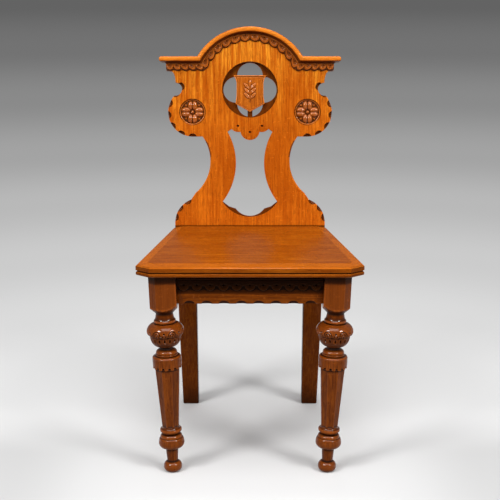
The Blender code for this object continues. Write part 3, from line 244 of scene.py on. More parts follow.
# Painted shade darkens the seat's rear edge where it meets the back.
seat_oak = oak("seat_oak", ALONG_X, (0.44, 0.108, 0.004), (0.235, 0.043, 0.0015), shift=3,
               gloss=0.25, painted_shade=("Y", SEAT_DEPTH - 0.0040, SEAT_DEPTH - 0.0008))
cornice_oak = oak("cornice_oak", ALONG_X, (0.80, 0.220, 0.016), (0.44, 0.088, 0.004), shift=5)
carved_oak = oak("carved_oak", ALONG_Y, (0.50, 0.130, 0.012), (0.27, 0.054, 0.004), shift=6,
                 gloss=0.9, carved=True)
shield_oak = oak("shield_oak", ALONG_Y, (0.66, 0.180, 0.014), (0.38, 0.076, 0.004), shift=7,
                 gloss=0.7, carved=True)
leg_oak = oak("leg_oak", ALONG_Z, (0.30, 0.066, 0.004), (0.105, 0.018, 0.001), shift=8,
              gloss=0.4, carved=True)
# The frieze is painted near black: its colour is painted shade, for the seat's shadow on it.
frieze_shade_oak = oak("frieze_shade_oak", ALONG_X, (0.045, 0.011, 0.001), (0.020, 0.005, 0.001), shift=10,
                 gloss=0.15)
# Painted shade darkens the rear legs towards the floor.
rear_oak = oak("rear_leg_oak", ALONG_Z, (0.26, 0.058, 0.004), (0.125, 0.023, 0.001), shift=11,
               gloss=0.3, painted_shade=("Z", 0.075, -0.01))
# Painted shade darkens the rail just under the frieze.
rail_oak = oak("rail_oak", ALONG_X, (0.33, 0.077, 0.005), (0.145, 0.028, 0.0015), shift=12,
               gloss=0.3, painted_shade=("Y", SEAT_UNDER - 0.0430, SEAT_UNDER - 0.0370))
side_rail_oak = oak("side_rail_oak", ALONG_Y, (0.40, 0.095, 0.007), (0.19, 0.038, 0.002), shift=14,
                    gloss=0.3)
block_oak = oak("bare_oak", ALONG_X, (0.42, 0.22, 0.085), (0.27, 0.125, 0.042), shift=15, gloss=0.0)

# %% [markdown]
# ## Small tools of the workshop
# The chair's outlines are drawn with a compass, so arcs are the first tool. A board is cut out of
# a flat curve, whose own bevel eases the sharp arris. Gouge cuts and sinkings are taken out with
# Boolean cutters. Carved strips are grids, where one function tells how deep the chisel went at
# each point: that is quicker than many cutters and never fails on shallow work.

# %% Outline tools
def arc(centre, radius, start, end, steps):
    """Points on an arc, both ends included."""
    turns = [start + (end - start) * i / steps for i in range(steps + 1)]
    return [(centre[0] + radius * cos(a), centre[1] + radius * sin(a)) for a in turns]


def quarter(start, end, upright_first, steps):
    """A quarter ellipse between two points, without its first point."""
    points = []
    for i in range(1, steps + 1):
        soon, late = sin(pi / 2 * i / steps), 1 - cos(pi / 2 * i / steps)
        across, along = (late, soon) if upright_first else (soon, late)
        points.append((start[0] + (end[0] - start[0]) * across,
                       start[1] + (end[1] - start[1]) * along))
    return points


def circles_meet(first, first_radius, second, second_radius, side):
    """Angles on two circles of the point where they meet, on one side."""
    apart = hypot(second[0] - first[0], second[1] - first[1])
    heading = atan2(second[1] - first[1], second[0] - first[0])
    near = (first_radius ** 2 + apart ** 2 - second_radius ** 2) / (2 * first_radius * apart)
    far = (second_radius ** 2 + apart ** 2 - first_radius ** 2) / (2 * second_radius * apart)
    return heading + side * acos(near), heading + pi - side * acos(far)


def both_sides(half):
    """Mirror an outline's right half and close it."""
    return half + [(-x, y) for x, y in reversed(half) if x]


# %% Mesh tools
def mesh_of(shape, name):
    """Turn a bmesh into a mesh, its faces turned outwards."""
    bmesh.ops.recalc_face_normals(shape, faces=shape.faces)
    mesh = bpy.data.meshes.new(name)
    shape.to_mesh(mesh)
    shape.free()
    return mesh


def put(name, data):
    """Put a new thing into the scene."""
    thing = bpy.data.objects.new(name, data)
    scene.collection.objects.link(thing)
    return thing


def worked_out(thing):
    """The mesh that a thing's curve or modifiers come to; the thing itself goes."""
    bpy.context.view_layer.update()
    graph = bpy.context.evaluated_depsgraph_get()
    mesh = bpy.data.meshes.new_from_object(thing.evaluated_get(graph))
    bpy.data.objects.remove(thing, do_unlink=True)
    return mesh


def flat_board(name, loops, low, high, ease=0.0):
    """Cut a board to its outlines, the first with the others as holes, and ease its arrises."""
    curve = bpy.data.curves.new(name, "CURVE")
    curve.dimensions = "2D"
    curve.fill_mode = "BOTH"
    curve.extrude = (high - low) / 2
    for loop in loops:
        spline = curve.splines.new("POLY")
        spline.points.add(len(loop) - 1)
        for point, (x, y) in zip(spline.points, loop):
            point.co = (x, y, 0, 1)
        spline.use_cyclic_u = True
    shape = bmesh.new()
    shape.from_mesh(worked_out(put(name, curve)))
    bmesh.ops.remove_doubles(shape, verts=shape.verts, dist=0.00001)
    bmesh.ops.dissolve_limit(shape, angle_limit=radians(0.5), verts=shape.verts, edges=shape.edges)
    bmesh.ops.translate(shape, verts=shape.verts, vec=(0, 0, (low + high) / 2))
    if ease:
        arrises = [edge for edge in shape.edges if edge.calc_face_angle() > radians(60)
                   and abs(edge.verts[0].co.z - edge.verts[1].co.z) < ease]
        bmesh.ops.bevel(shape, geom=arrises, offset=ease, segments=2, profile=0.5,
                        affect="EDGES", clamp_overlap=False, loop_slide=False)
    return mesh_of(shape, name)


def loft(name, rings):
    """Skin a body through rings of as many points each, and cap its ends."""
    shape = bmesh.new()
    loops = [[shape.verts.new(point) for point in ring] for ring in rings]
    for near, far in zip(loops, loops[1:]):
        for i in range(len(near)):
            shape.faces.new((near[i - 1], near[i], far[i], far[i - 1]))
    shape.faces.new(loops[0])
    shape.faces.new(loops[-1])
    return mesh_of(shape, name)


def turned(name, profile, steps=96):
    """Spin a profile of (radius, level) about Z, capped at both ends."""
    turns = [2 * pi * i / steps for i in range(steps)]
    return loft(name, [[(r * cos(a), r * sin(a), z) for a in turns] for r, z in profile])


def scoop(length, width, depth, centre, heading):
    """An egg-shaped gouge cut, its long side turned to a heading."""
    shape = bmesh.new()
    bmesh.ops.create_uvsphere(shape, u_segments=20, v_segments=12, radius=1,
                              matrix=Matrix.Diagonal((length / 2, width / 2, depth / 2, 1)))
    bmesh.ops.rotate(shape, verts=shape.verts, matrix=Matrix.Rotation(heading, 3, "Z"))
    bmesh.ops.translate(shape, verts=shape.verts, vec=centre)
    return mesh_of(shape, "scoop")


def block(low, high):
    """A plain block between two corners, to cut with."""
    middle = [(a + b) / 2 for a, b in zip(low, high)]
    sides = [b - a for a, b in zip(low, high)]
    shape = bmesh.new()
    bmesh.ops.create_cube(shape, size=1, matrix=Matrix.Translation(middle) @ Matrix.Diagonal((*sides, 1)))
    return mesh_of(shape, "block")


def carve(mesh, cutters):
    """Take every cutter away from a mesh in one Boolean step."""
    group = bpy.data.collections.new("cutters")
    things = [bpy.data.objects.new("cutter", cutter) for cutter in cutters]
    for thing in things:
        group.objects.link(thing)
    work = put("work", mesh)
    step = work.modifiers.new("carve", "BOOLEAN")
    step.operation = "DIFFERENCE"
    step.solver = "EXACT"
    step.operand_type = "COLLECTION"
    step.collection = group
    result = worked_out(work)
    for thing in things:
        bpy.data.objects.remove(thing, do_unlink=True)
    bpy.data.collections.remove(group)
    return result


# %% [markdown]
# ## Carved strips and their age
# `carved_slab` makes a closed slab from a grid. `note_age` compares each point with its
# neighbours: one that lies deeper than they do is a hollow, where stain gathers, and one that
# stands proud is a rubbed edge. On sawn boards, whose large faces have few points,
# `darken_and_lighten_faces` asks a rule instead. The rule tells from a face's place how much stain
# and painted shade darken it, and how much wear and painted highlight lighten it.

# %% Carving tools
def carved_slab(name, columns, rows, surface, rear):
    """Close a slab: its front is surface(share along, share down), its rear is flat."""
    shape = bmesh.new()
    grid = [[shape.verts.new(surface(i / columns, j / rows)) for i in range(columns + 1)]
            for j in range(rows + 1)]
    for upper, lower in zip(grid, grid[1:]):
        for i in range(columns):
            shape.faces.new((upper[i], upper[i + 1], lower[i + 1], lower[i]))
    rim = grid[0][:-1] + [row[-1] for row in grid[:-1]]
    rim += grid[-1][:0:-1] + [row[0] for row in grid[:0:-1]]
    behind = [shape.verts.new((v.co.x, v.co.y, rear)) for v in rim]
    for i in range(len(rim)):
        shape.faces.new((rim[i - 1], rim[i], behind[i], behind[i - 1]))
    shape.faces.new(behind)
    return mesh_of(shape, name)


SMOOTHING_PASSES = 2
STAINED_DEPTH = 0.0026      # below its face, where the stain is full


def column(items, key, width, kind=float):
    """Read one property of all the items into an array, a row for each."""
    values = np.empty(len(items) * width, kind)
    items.foreach_get(key, values)
    return values.reshape(-1, width)


def store(mesh, name, values):
    """Keep a value for each point in the mesh, under a name."""
    data = mesh.attributes.new(name, "FLOAT", "POINT").data
    data.foreach_set("value", np.array(values, np.float32))


def note_age(mesh, reach=0.00012, face=None):
    """Store each point's stain_and_shade and wear_and_highlight, from 0 to 1: stain where it lies deeper
    than its neighbours and below its face, and wear where it stands proud.
    """
    places = column(mesh.vertices, "co", 3)
    a, b = column(mesh.edges, "vertices", 2, int).T
    neighbours = np.maximum(np.bincount(np.r_[a, b], minlength=len(places)), 1)

    def mean_beside(values):
        """What each point's neighbours have on average."""
        total = np.zeros_like(values)
        np.add.at(total, a, values[b])
        np.add.at(total, b, values[a])
        return total / (neighbours if values.ndim == 1 else neighbours[:, None])

    lift = ((mean_beside(places) - places) * column(mesh.vertices, "normal", 3)).sum(1)
    for _ in range(SMOOTHING_PASSES):
        lift = (lift + mean_beside(lift)) / 2
    sunk = 0.0 if face is None else np.clip((face - places[:, 2]) / STAINED_DEPTH, 0, 1)
    store(mesh, "stain_and_shade", np.clip(lift / reach, sunk, 1))
    store(mesh, "wear_and_highlight", np.clip(-lift / reach, 0, 1) * (1 - sunk))


def darken_and_lighten_faces(mesh, rule):
    """Store what a rule says of each corner of each face: its stain_and_shade and its wear_and_highlight.
    """
    for name in ("stain_and_shade", "wear_and_highlight"):
        mesh.attributes.new(name, "FLOAT", "CORNER")
    stain_and_shade, wear_and_highlight = (mesh.attributes[name].data for name in ("stain_and_shade", "wear_and_highlight"))
    for face in mesh.polygons:
        for corner in face.loop_indices:
            point = mesh.vertices[mesh.loops[corner].vertex_index].co
            stain_and_shade[corner].value, wear_and_highlight[corner].value = rule(face.center, face.normal, point)


def polish_above(mesh, low, high):
    """Give the proud parts of a carving a thicker polish."""
    store(mesh, "polish", [ramp(vertex.co.z, low, high) for vertex in mesh.vertices])


def add_piece(name, mesh, place, finish, node, crease=radians(38)):
    """Stand a piece in its place: it rides with the chair and stands for its solid."""
    mesh.name = name
    mesh.materials.clear()
    mesh.materials.append(finish)
    mesh.shade_smooth()
    mesh.set_sharp_from_angle(angle=crease)
    piece = put(name, mesh)
    piece.matrix_world = place
    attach(piece, "root")
    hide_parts(node)
    print("%s: %d faces" % (name, len(mesh.polygons)))


def dip(offset, half_width):
    """Depth of a round-bottomed cut, from 1 at its middle to 0 at its edge."""
    return max(0.0, 1 - (offset / half_width) ** 2)


def ramp(value, start, end):
    """Rise smoothly from 0 at the start to 1 at the end."""
    share = min(1.0, max(0.0, (value - start) / (end - start)))
    return share * share * (3 - 2 * share)


# %% [markdown]
# ## The back plank
# The back is one upright plank, sawn to arcs on both sides, pierced by a tall opening with a
# lobed pendant and by a round one with a thinner, sunk web of four foils. The carver chopped a row
# of gouge nicks into its front arris and ran a stopped chamfer down the waist. Outline and holes
# are one flat curve; the sinkings and nicks are Boolean cutters, because each is a plain solid
# that meets the board cleanly.

# %% Outline of the back
BACK_THICKNESS = 0.025
BACK_FOOT_HALF = 0.1705
SHOULDER_CENTRE = (0.1155, 0.008)
SHOULDER_RADIUS = 0.055
WAIST_CENTRE = (0.185, 0.148)
WAIST_RADIUS = 0.095
WAIST_LOW_DROP = 0.0725
LOBE_CENTRE = (0.130, 0.258)
LOBE_RADIUS = 0.055
NOTCH_CENTRE = (0.168, 0.3095)
NOTCH_RADIUS = 0.0145
END_COVE_X = 0.0105
BOARD_HALF = 0.1835
BOARD_TOP = 0.3815
ARCH_HEIGHT = 0.3085        # centre of the arch and of the round opening
ARCH_RADIUS = 0.139
BAND_FOOT = 0.0318          # below the top line of the board

waist_low = pi + asin(WAIST_LOW_DROP / WAIST_RADIUS)
waist_high = pi - asin((LOBE_CENTRE[1] - LOBE_RADIUS - WAIST_CENTRE[1]) / WAIST_RADIUS)
lobe_end, notch_start = circles_meet(LOBE_CENTRE, LOBE_RADIUS, NOTCH_CENTRE, NOTCH_RADIUS, -1)


def back_outline():
    """The plank's outer edge: shoulder, waist, lobe, notch, end of the board and arch."""
    half = [(BACK_FOOT_HALF, -0.05)]
    half += arc(SHOULDER_CENTRE, SHOULDER_RADIUS, 0, radians(70), 28)
    half += arc(WAIST_CENTRE, WAIST_RADIUS, waist_low, waist_high, 40)
    half += arc(LOBE_CENTRE, LOBE_RADIUS, -pi / 2, lobe_end, 56)
    half += arc(NOTCH_CENTRE, NOTCH_RADIUS, notch_start, pi / 2, 20)[1:]
    end_foot = BOARD_TOP - BAND_FOOT
    half += quarter(half[-1], (NOTCH_CENTRE[0] + END_COVE_X, end_foot), True, 10)
    half += [(BOARD_HALF, end_foot), (BOARD_HALF, BOARD_TOP)]
    spring = asin((BOARD_TOP - ARCH_HEIGHT) / ARCH_RADIUS)
    half += arc((0, ARCH_HEIGHT), ARCH_RADIUS, spring, pi / 2, 40)[:-1]
    return both_sides(half + [(0, ARCH_HEIGHT + ARCH_RADIUS)])


FOIL_RADIUS = 0.029
FOIL_OFFSET = 0.0315
LINK_HALF = 0.0055
LINK_DROP = 0.046


def quatrefoil():
    """Four foils round the centre, with the small link that carries the shield's point."""
    reach = FOIL_OFFSET / 2 + sqrt(FOIL_RADIUS ** 2 / 2 - FOIL_OFFSET ** 2 / 4)
    opening = pi / 2 + 2 * asin((reach - FOIL_OFFSET) / FOIL_RADIUS)
    points = []
    for heading in (0, pi / 2, pi):
        foil = (FOIL_OFFSET * cos(heading), ARCH_HEIGHT + FOIL_OFFSET * sin(heading))
        points += arc(foil, FOIL_RADIUS, heading - pi + opening, heading + pi - opening, 30)[:-1]
    foil = (0, ARCH_HEIGHT - FOIL_OFFSET)
    beside = asin(LINK_HALF / FOIL_RADIUS)
    points += arc(foil, FOIL_RADIUS, pi / 2 + opening, 3 * pi / 2 - beside, 14)
    points += [(-LINK_HALF, ARCH_HEIGHT - LINK_DROP), (LINK_HALF, ARCH_HEIGHT - LINK_DROP)]
    points += arc(foil, FOIL_RADIUS, 3 * pi / 2 + beside, 5 * pi / 2 - opening, 14)[:-1]
    return points


STILE_ARC_CENTRE = (0.175, 0.143)
STILE_ARC_RADIUS = 0.143
STILE_ARC_TOP = 0.2138
BASIN_CENTRE = (0, 0.095)
BASIN_RADIUS = 0.074
PENDANT_CENTRE = (0, 0.217)
PENDANT_RADIUS = 0.022
EAR_CENTRE = (0.0265, 0.2335)
EAR_RADIUS = 0.0205
CUSP_X = 0.0326
CUSP_RADIUS = 0.040
CUSP_CENTRE = (0, 0.062)
CUSP_HOLLOW = (0.048, 0.0438)
basin_turn, stile_turn = circles_meet(BASIN_CENTRE, BASIN_RADIUS, STILE_ARC_CENTRE, STILE_ARC_RADIUS, -1)


def lower_opening():
    """The tall opening: cusped web below, inward curving sides, lobed pendant above."""
    stile_end = pi - asin((STILE_ARC_TOP - STILE_ARC_CENTRE[1]) / STILE_ARC_RADIUS)
    pendant_end, ear_start = circles_meet(PENDANT_CENTRE, PENDANT_RADIUS, EAR_CENTRE, EAR_RADIUS, -1)
    half = arc(CUSP_CENTRE, CUSP_RADIUS, -pi / 2, -pi / 2 + asin(CUSP_X / CUSP_RADIUS), 14)
    half += [CUSP_HOLLOW]
    half += arc(STILE_ARC_CENTRE, STILE_ARC_RADIUS, stile_turn, stile_end, 44)
    half += arc(EAR_CENTRE, EAR_RADIUS, radians(-42), ear_start - 2 * pi, 14)[:-1]
    half += arc(PENDANT_CENTRE, PENDANT_RADIUS, pendant_end, -pi / 2, 14)
    return both_sides([point if point[0] > GAP else (0, point[1]) for point in half])


# %% Nicks, sinkings and chamfers of the back
RECESS_DEPTH = 0.011
ROUND_RADIUS = 0.062
ROSETTE_RADIUS = 0.028
ROSETTE_DEPTH = 0.006
ROUND_BEVEL = 0.0009
ROSETTE_BEVEL = 0.0016
NICK = (0.0180, 0.0150, 0.0130)
NICK_STEP = 0.0266          # along the edge
NICK_RISE = 0.0004          # how far a nick's middle lies off the edge
# Each nicked arc has a centre, a radius, its two ends in degrees, and 1 where it bulges, or -1.
NICKED_ARCS = ((LOBE_CENTRE, LOBE_RADIUS, -104, 62, 1), (SHOULDER_CENTRE, SHOULDER_RADIUS, 0, 74, 1),
               (NOTCH_CENTRE, NOTCH_RADIUS, 196, 112, -1))
PENDANT_DOT = (0.0064, 0.0054, 0.0060)
PENDANT_DOTS = ((-0.0274, 0.227), (0.0274, 0.227), (0, 0.213))
WAIST_CHAMFER = 0.0032
CHAMFER_START = 0.04        # of the waist's arc
CHAMFER_SPAN = 0.90
CHAMFER_STOP = 0.07         # of the chamfer, at either end
CHAMFER_STEPS = 40
BEYOND = 0.006              # how far a cutter runs past what it cuts


def nicks(centre, radius, start, end, bulge):
    """A row of gouge nicks on the front arris of an arc, on both sides of the back."""
    count = max(1, round(abs(end - start) * radius / NICK_STEP))
    cuts = []
    for side, _ in SIDES:
        for i in range(count):
            turn = start + (end - start) * (i + 0.5) / count
            out = radius + bulge * NICK_RISE
            point = (side * (centre[0] + out * cos(turn)), centre[1] + out * sin(turn), 0)
            heading = turn + pi / 2 if side > 0 else pi / 2 - turn
            cuts.append(scoop(*NICK, point, heading))
    return cuts


def sinking(centre, radius, depth, edge):
    """A round sinking with a flat floor and a bevelled rim."""
    cutter = turned("sinking", [(radius, -depth), (radius, -edge), (radius + edge, 0),
                                (radius + edge, BEYOND)], 128)
    cutter.transform(Matrix.Translation((*centre, 0)))
    return cutter


def stopped_chamfer(side):
    """A chamfer along the waist that runs out before both of its ends."""
    rings = []
    for i in range(CHAMFER_STEPS + 1):
        share = i / CHAMFER_STEPS
        turn = waist_low + (waist_high - waist_low) * (CHAMFER_START + CHAMFER_SPAN * share)
        stop = min(ramp(share, 0, CHAMFER_STOP), ramp(share, 1, 1 - CHAMFER_STOP))
        size = WAIST_CHAMFER * (0.02 + 0.98 * stop)
        ring = []
        for out, ahead in ((size, 0), (0, size), (-size, 0), (0, -size)):
            radius = WAIST_RADIUS + out
            ring.append((side * (WAIST_CENTRE[0] + radius * cos(turn)),
                         WAIST_CENTRE[1] + radius * sin(turn), ahead))
        rings.append(ring)
    return loft("stopped_chamfer", rings)


basin_end = basin_turn - GAP / BASIN_RADIUS
basin = arc(BASIN_CENTRE, BASIN_RADIUS, -pi - basin_end, basin_end, 40)
cutters = [sinking((0, ARCH_HEIGHT), ROUND_RADIUS, RECESS_DEPTH, ROUND_BEVEL)]
cutters += [sinking((side * LOBE_CENTRE[0], LOBE_CENTRE[1]), ROSETTE_RADIUS + GAP, ROSETTE_DEPTH,
                    ROSETTE_BEVEL) for side, _ in SIDES]
cutters += [flat_board("basin", [basin], -RECESS_DEPTH, BEYOND)]
cutters += [stopped_chamfer(side) for side, _ in SIDES]
for centre, radius, start, end, bulge in NICKED_ARCS:
    cutters += nicks(centre, radius, radians(start), radians(end), bulge)
cutters += [scoop(*PENDANT_DOT, (x, height, 0), 0) for x, height in PENDANT_DOTS]
foot = block((-0.3, -0.1, SEAT_UNDER - 0.1), (0.3, 0.1, SEAT_UNDER + GAP))
foot.transform(back_place.inverted() @ Matrix.Translation((0, back_y, 0)))
cutters.append(foot)
print("cutters for the back: %d" % len(cutters))

# %% The plank itself
EASE = 0.0004
# Painted shade on the sunk web, in the cuts and on the walls of the sinkings; wear with a painted
# highlight on the arrises.
WEB_SHADE = 0.93
CUT_SHADE = 0.97            # in nicks and other gouge cuts
WALL_SHADE = 0.75           # on the walls of the sinkings
SAWN_STAIN = 0.35           # on the walls behind them
ARRIS_WEAR_AND_HIGHLIGHT = 0.8


def plank_shade_and_wear(middle, normal, *_):
    """Painted shade in the plank's cuts, sinkings and web, stain on its sawn walls, and wear with a
    painted highlight on its arrises.
    """
    depth, facing = -middle.z, abs(normal.z)
    off_waist = Vector((abs(middle.x) - WAIST_CENTRE[0], middle.y - WAIST_CENTRE[1])).length
    if facing > 0.99:
        return (WEB_SHADE if EASE < depth < BACK_THICKNESS - EASE else 0.0), 0.0
    if facing < 0.05:
        return (SAWN_STAIN if depth > RECESS_DEPTH else WALL_SHADE), 0.0
    if depth < EASE or depth > BACK_THICKNESS - EASE:
        return 0.0, ARRIS_WEAR_AND_HIGHLIGHT
    if abs(off_waist - WAIST_RADIUS) < WAIST_CHAMFER:
        # The chamfer turns away from the light above the waist's middle, and catches it below: painted
        # shade above, painted highlight below.
        return (0.55, 0.0) if middle.y > WAIST_CENTRE[1] + 0.01 else (0.12, ARRIS_WEAR_AND_HIGHLIGHT)
    return CUT_SHADE, 0.0


plank = carve(flat_board("back_plank", [back_outline(), quatrefoil(), lower_opening()],
                         -BACK_THICKNESS, 0, EASE), cutters)
darken_and_lighten_faces(plank, plank_shade_and_wear)
add_piece("back_plank", plank, back_place, golden, "back_panel", crease=radians(25))

# %% [markdown]
# ## Cornice
# A moulding caps the arched top: a thick rounded nose over a small cove. A joiner runs one
# profile along the arch and two straights and mitres them, and so does this loft, which carries
# the profile from ring to ring. The return pieces cap the ends of the board.

# %% Cornice mouldings
PROJECTION = 0.020
NOSE_ROUND = 0.0052
NOSE_FOOT = 0.0082
NOSE_UNDERCUT = 0.0036
COVE_TOP = 0.0029           # below the nose's foot
COVE_STEP = 0.0046
COVE_FOOT = 0.0064
BED = 0.0150
MITRE_GAP = 0.0004
ARCH_STEPS = 72


def cornice_profile():
    """Points (projection, drop below the top), from the top rear corner round the nose."""
    points = [(GAP, 0), (PROJECTION - NOSE_ROUND, 0)]
    points += quarter(points[-1], (PROJECTION, NOSE_ROUND), False, 10)
    points += [(PROJECTION, NOSE_FOOT)]
    points += quarter(points[-1], (PROJECTION - NOSE_UNDERCUT, NOSE_FOOT + COVE_TOP - 0.0001), True, 8)
    points += [(PROJECTION - COVE_STEP, NOSE_FOOT + COVE_TOP)]
    points += quarter(points[-1], (COVE_FOOT, BED - 0.0004), False, 8)
    return points + [(COVE_FOOT - 0.0002, BED), (GAP, BED)]


def arch_spring(drop):
    """Angle from which the arch springs, so far below the top line."""
    return asin((BOARD_TOP - ARCH_HEIGHT - drop) / (ARCH_RADIUS - drop))


def arch_meet_x(drop):
    """Where the arch meets the straight part, so far below the top line."""
    return (ARCH_RADIUS - drop) * cos(arch_spring(drop))


profile = cornice_profile()
rings = []
for i in range(ARCH_STEPS + 1):
    ring = []
    for out, drop in profile:
        turn = arch_spring(drop) + (pi - 2 * arch_spring(drop)) * i / ARCH_STEPS
        radius = ARCH_RADIUS - drop
        ring.append((radius * cos(turn), ARCH_HEIGHT + radius * sin(turn), out))
    rings.append(ring)
mouldings = {"cornice_arch": rings}
for side, word in SIDES:
    mouldings["cornice_" + word] = [
        [(side * (arch_meet_x(drop) + MITRE_GAP), BOARD_TOP - drop, out) for out, drop in profile],
        [(side * (BOARD_HALF + out - MITRE_GAP), BOARD_TOP - drop, out) for out, drop in profile]]
    mouldings["cornice_return_" + word] = [
        [(side * (BOARD_HALF + out), BOARD_TOP - drop, out) for out, drop in profile],
        [(side * (BOARD_HALF + out), BOARD_TOP - drop, -BACK_THICKNESS) for out, drop in profile]]
for name, rings in mouldings.items():
    moulding = loft(name, rings)
    drops = [drop for _, drop in profile] * len(rings)
    # A painted highlight runs along the face of the nose, and painted shade fills the cove under it.
    store(moulding, "wear_and_highlight", [0.55 * dip(drop - 0.0050, 0.0045) for drop in drops])
    store(moulding, "stain_and_shade", [0.9 * ramp(drop, NOSE_FOOT + 0.0014, NOSE_FOOT + COVE_TOP)
                               for drop in drops])
    add_piece("oak_" + name, moulding, back_place, cornice_oak, name)

# %% [markdown]
# ## Bands of lunettes
# Under the cornice runs a thin carved band: a row of half-moons, each cut with one sweep of a
# gouge and punched with a dot, over a scalloped lower edge. The same half-moons return on the
# frieze under the seat. They are carved into grids, where `lunette` gives the chisel's depth.

# %% The lunette
GROUND_DEPTH = 0.0024       # of the cuts between the tongues
FIELD_DEPTH = 0.0009        # of the field inside a tongue's rim
DOT = 0.0044
DOT_DEPTH = 0.0026


def lunette(x, down, radius, middle):
    """Depth of the carving round one tongue and its dot; x is from its middle line."""
    reach = hypot(x, (down - middle) * 0.92)
    below = ramp(down, middle, middle + 0.003)
    ground = GROUND_DEPTH * ramp(reach, radius, radius + 0.0012) * below
    field = FIELD_DEPTH * ramp(reach, radius * 0.72, radius * 0.55) * ramp(down, middle - 0.003, middle)
    return max(ground, field, DOT_DEPTH * dip(reach, DOT / 2))


BAND_TOP = BED + GAP
BAND_THICKNESS = 0.005
BAND_MIDDLE = 0.0040        # of a half-moon, below the band's top
TONGUE_SHARE = 0.45         # a tongue's radius, of its width
ARRIS_EASE = 0.0011
ARRIS_RUN = 0.0012
SCALLOP = 0.0035
LUNETTES_ARCH = 12
LUNETTES_STRAIGHT = 5
LUNETTE_COLUMNS = 30
BAND_ROWS = 24


def scalloped(share):
    """How far the lower edge hangs, 0 at a cusp and 1 in the middle of a scallop."""
    return sin(pi * (share % 1.0))


def band_drop(place, down):
    """Drop below the board's top of a point so many lunettes along and so far down the band."""
    foot = BAND_FOOT - SCALLOP * (1 - scalloped(place))
    return BAND_TOP + (foot - BAND_TOP) * down, foot


def band_cut(place, width, drop):
    """Depth of a band's carving."""
    return lunette(((place % 1.0) - 0.5) * width, drop - BAND_TOP, width * TONGUE_SHARE, BAND_MIDDLE)


def band_face(place, width, drop, foot):
    """Where a band's carved face lies, with its lower arris eased."""
    edge = ARRIS_EASE * ramp(drop, foot - ARRIS_RUN, foot)
    return GAP + BAND_THICKNESS - band_cut(place, width, drop) - edge


def arch_band(along, down):
    """A point of the arched band."""
    place = along * LUNETTES_ARCH
    drop, foot = band_drop(place, down)
    spring = arch_spring(drop)
    turn = pi - spring - (pi - 2 * spring) * along
    radius = ARCH_RADIUS - drop
    width = (ARCH_RADIUS - BAND_FOOT) * (pi - 2 * spring) / LUNETTES_ARCH
    face = band_face(place, width, drop, foot)
    return radius * cos(turn), ARCH_HEIGHT + radius * sin(turn), face


def straight_band(side):
    """The surface of a straight band on one side."""
    def surface(along, down):
        """A point of that band."""
        place = along * LUNETTES_STRAIGHT
        drop, foot = band_drop(place, down)
        start = arch_meet_x(drop) + MITRE_GAP
        end = BOARD_HALF + GAP + BAND_THICKNESS
        width = (end - arch_meet_x(BAND_FOOT)) / LUNETTES_STRAIGHT
        face = band_face(place, width, drop, foot)
        return side * (start + (end - start) * along), BOARD_TOP - drop, face
    return surface


def end_band(along, down):
    """A point of a band on the end of the board, carved flat."""
    drop, _ = band_drop(along, down)
    face = BAND_THICKNESS - band_cut(along, BACK_THICKNESS, drop)
    return BACK_THICKNESS * (along - 0.5), BOARD_TOP - drop, face


# %% Bands under the cornice
def make_band(name, node, lunettes, surface, rear=GAP, turn=None):
    """Carve a band flat, turn it if asked, and plant it on the board."""
    band = carved_slab(name, lunettes * LUNETTE_COLUMNS, BAND_ROWS, surface, rear)
    note_age(band, face=rear + BAND_THICKNESS)
    if turn:
        band.transform(turn)
    add_piece(name, band, back_place, carved_oak, node)


make_band("lunettes_arch", "lunette_band_arch", LUNETTES_ARCH, arch_band)
for side, word in SIDES:
    make_band("lunettes_" + word, "lunette_band_" + word, LUNETTES_STRAIGHT, straight_band(side))
    sideways = (Matrix.Translation((side * (BOARD_HALF + GAP), 0, -BACK_THICKNESS / 2))
                @ Matrix.Rotation(side * pi / 2, 4, "Y"))
    make_band("lunettes_return_" + word, "lunette_return_" + word, 1, end_band, 0, sideways)

# %% [markdown]
# ## Rosettes
# A carved round sits in each lobe: four broad petals about a bead, with leaf points between them,
# on a sunk ground inside a narrow rim. A round grid with rings and spokes gives petals that
# meet at the middle without a seam.

# %% Rosettes
ROSETTE_GROUND = -0.0052
ROSETTE_RINGS = 34
ROSETTE_SPOKES = 144
PETAL_MIDDLE = 0.0148       # from the rosette's middle
PETAL_HALF_LENGTH = 0.0102
LOBE_OFFSET = 0.0046        # each petal has two lobes
LOBE_HALF_WIDTH = 0.0066
PETAL_HEIGHT = 0.0052
PETAL_CREASE = 0.0011
POINT_MIDDLE = 0.0210       # of the leaf points between the petals
POINT_HALF = (0.0050, 0.0040)
POINT_HEIGHT = 0.0034
BEAD_RADIUS = 0.0040
BEAD_GROOVE = (0.0052, 0.0014)
RIM_START = 0.0258
RIM_HEIGHT = 0.0026


def rosette_height(radius, turn):
    """How high the carving stands above its ground."""
    height = 0.0
    for petal in range(4):
        along, across = radius * cos(turn - petal * pi / 2), radius * sin(turn - petal * pi / 2)
        if along > 0:
            for lobe in (-LOBE_OFFSET, LOBE_OFFSET):
                swell = (1 - ((along - PETAL_MIDDLE) / PETAL_HALF_LENGTH) ** 2
                         - ((across - lobe) / LOBE_HALF_WIDTH) ** 2)
                if swell > 0:
                    crease = PETAL_CREASE * dip(across, 0.0010)
                    height = max(height, PETAL_HEIGHT * swell ** 0.6 - crease)
        along = radius * cos(turn - petal * pi / 2 - pi / 4) - POINT_MIDDLE
        across = radius * sin(turn - petal * pi / 2 - pi / 4)
        swell = 1 - abs(along / POINT_HALF[0]) - abs(across / POINT_HALF[1])
        height = max(height, POINT_HEIGHT * swell)
    if radius < BEAD_RADIUS:
        height = max(height, PETAL_HEIGHT * sqrt(1 - (radius / BEAD_RADIUS) ** 2))
    height *= 1 - 0.9 * dip(radius - BEAD_GROOVE[0], BEAD_GROOVE[1])
    return max(height, RIM_HEIGHT * ramp(radius, RIM_START, RIM_START + 0.0008))


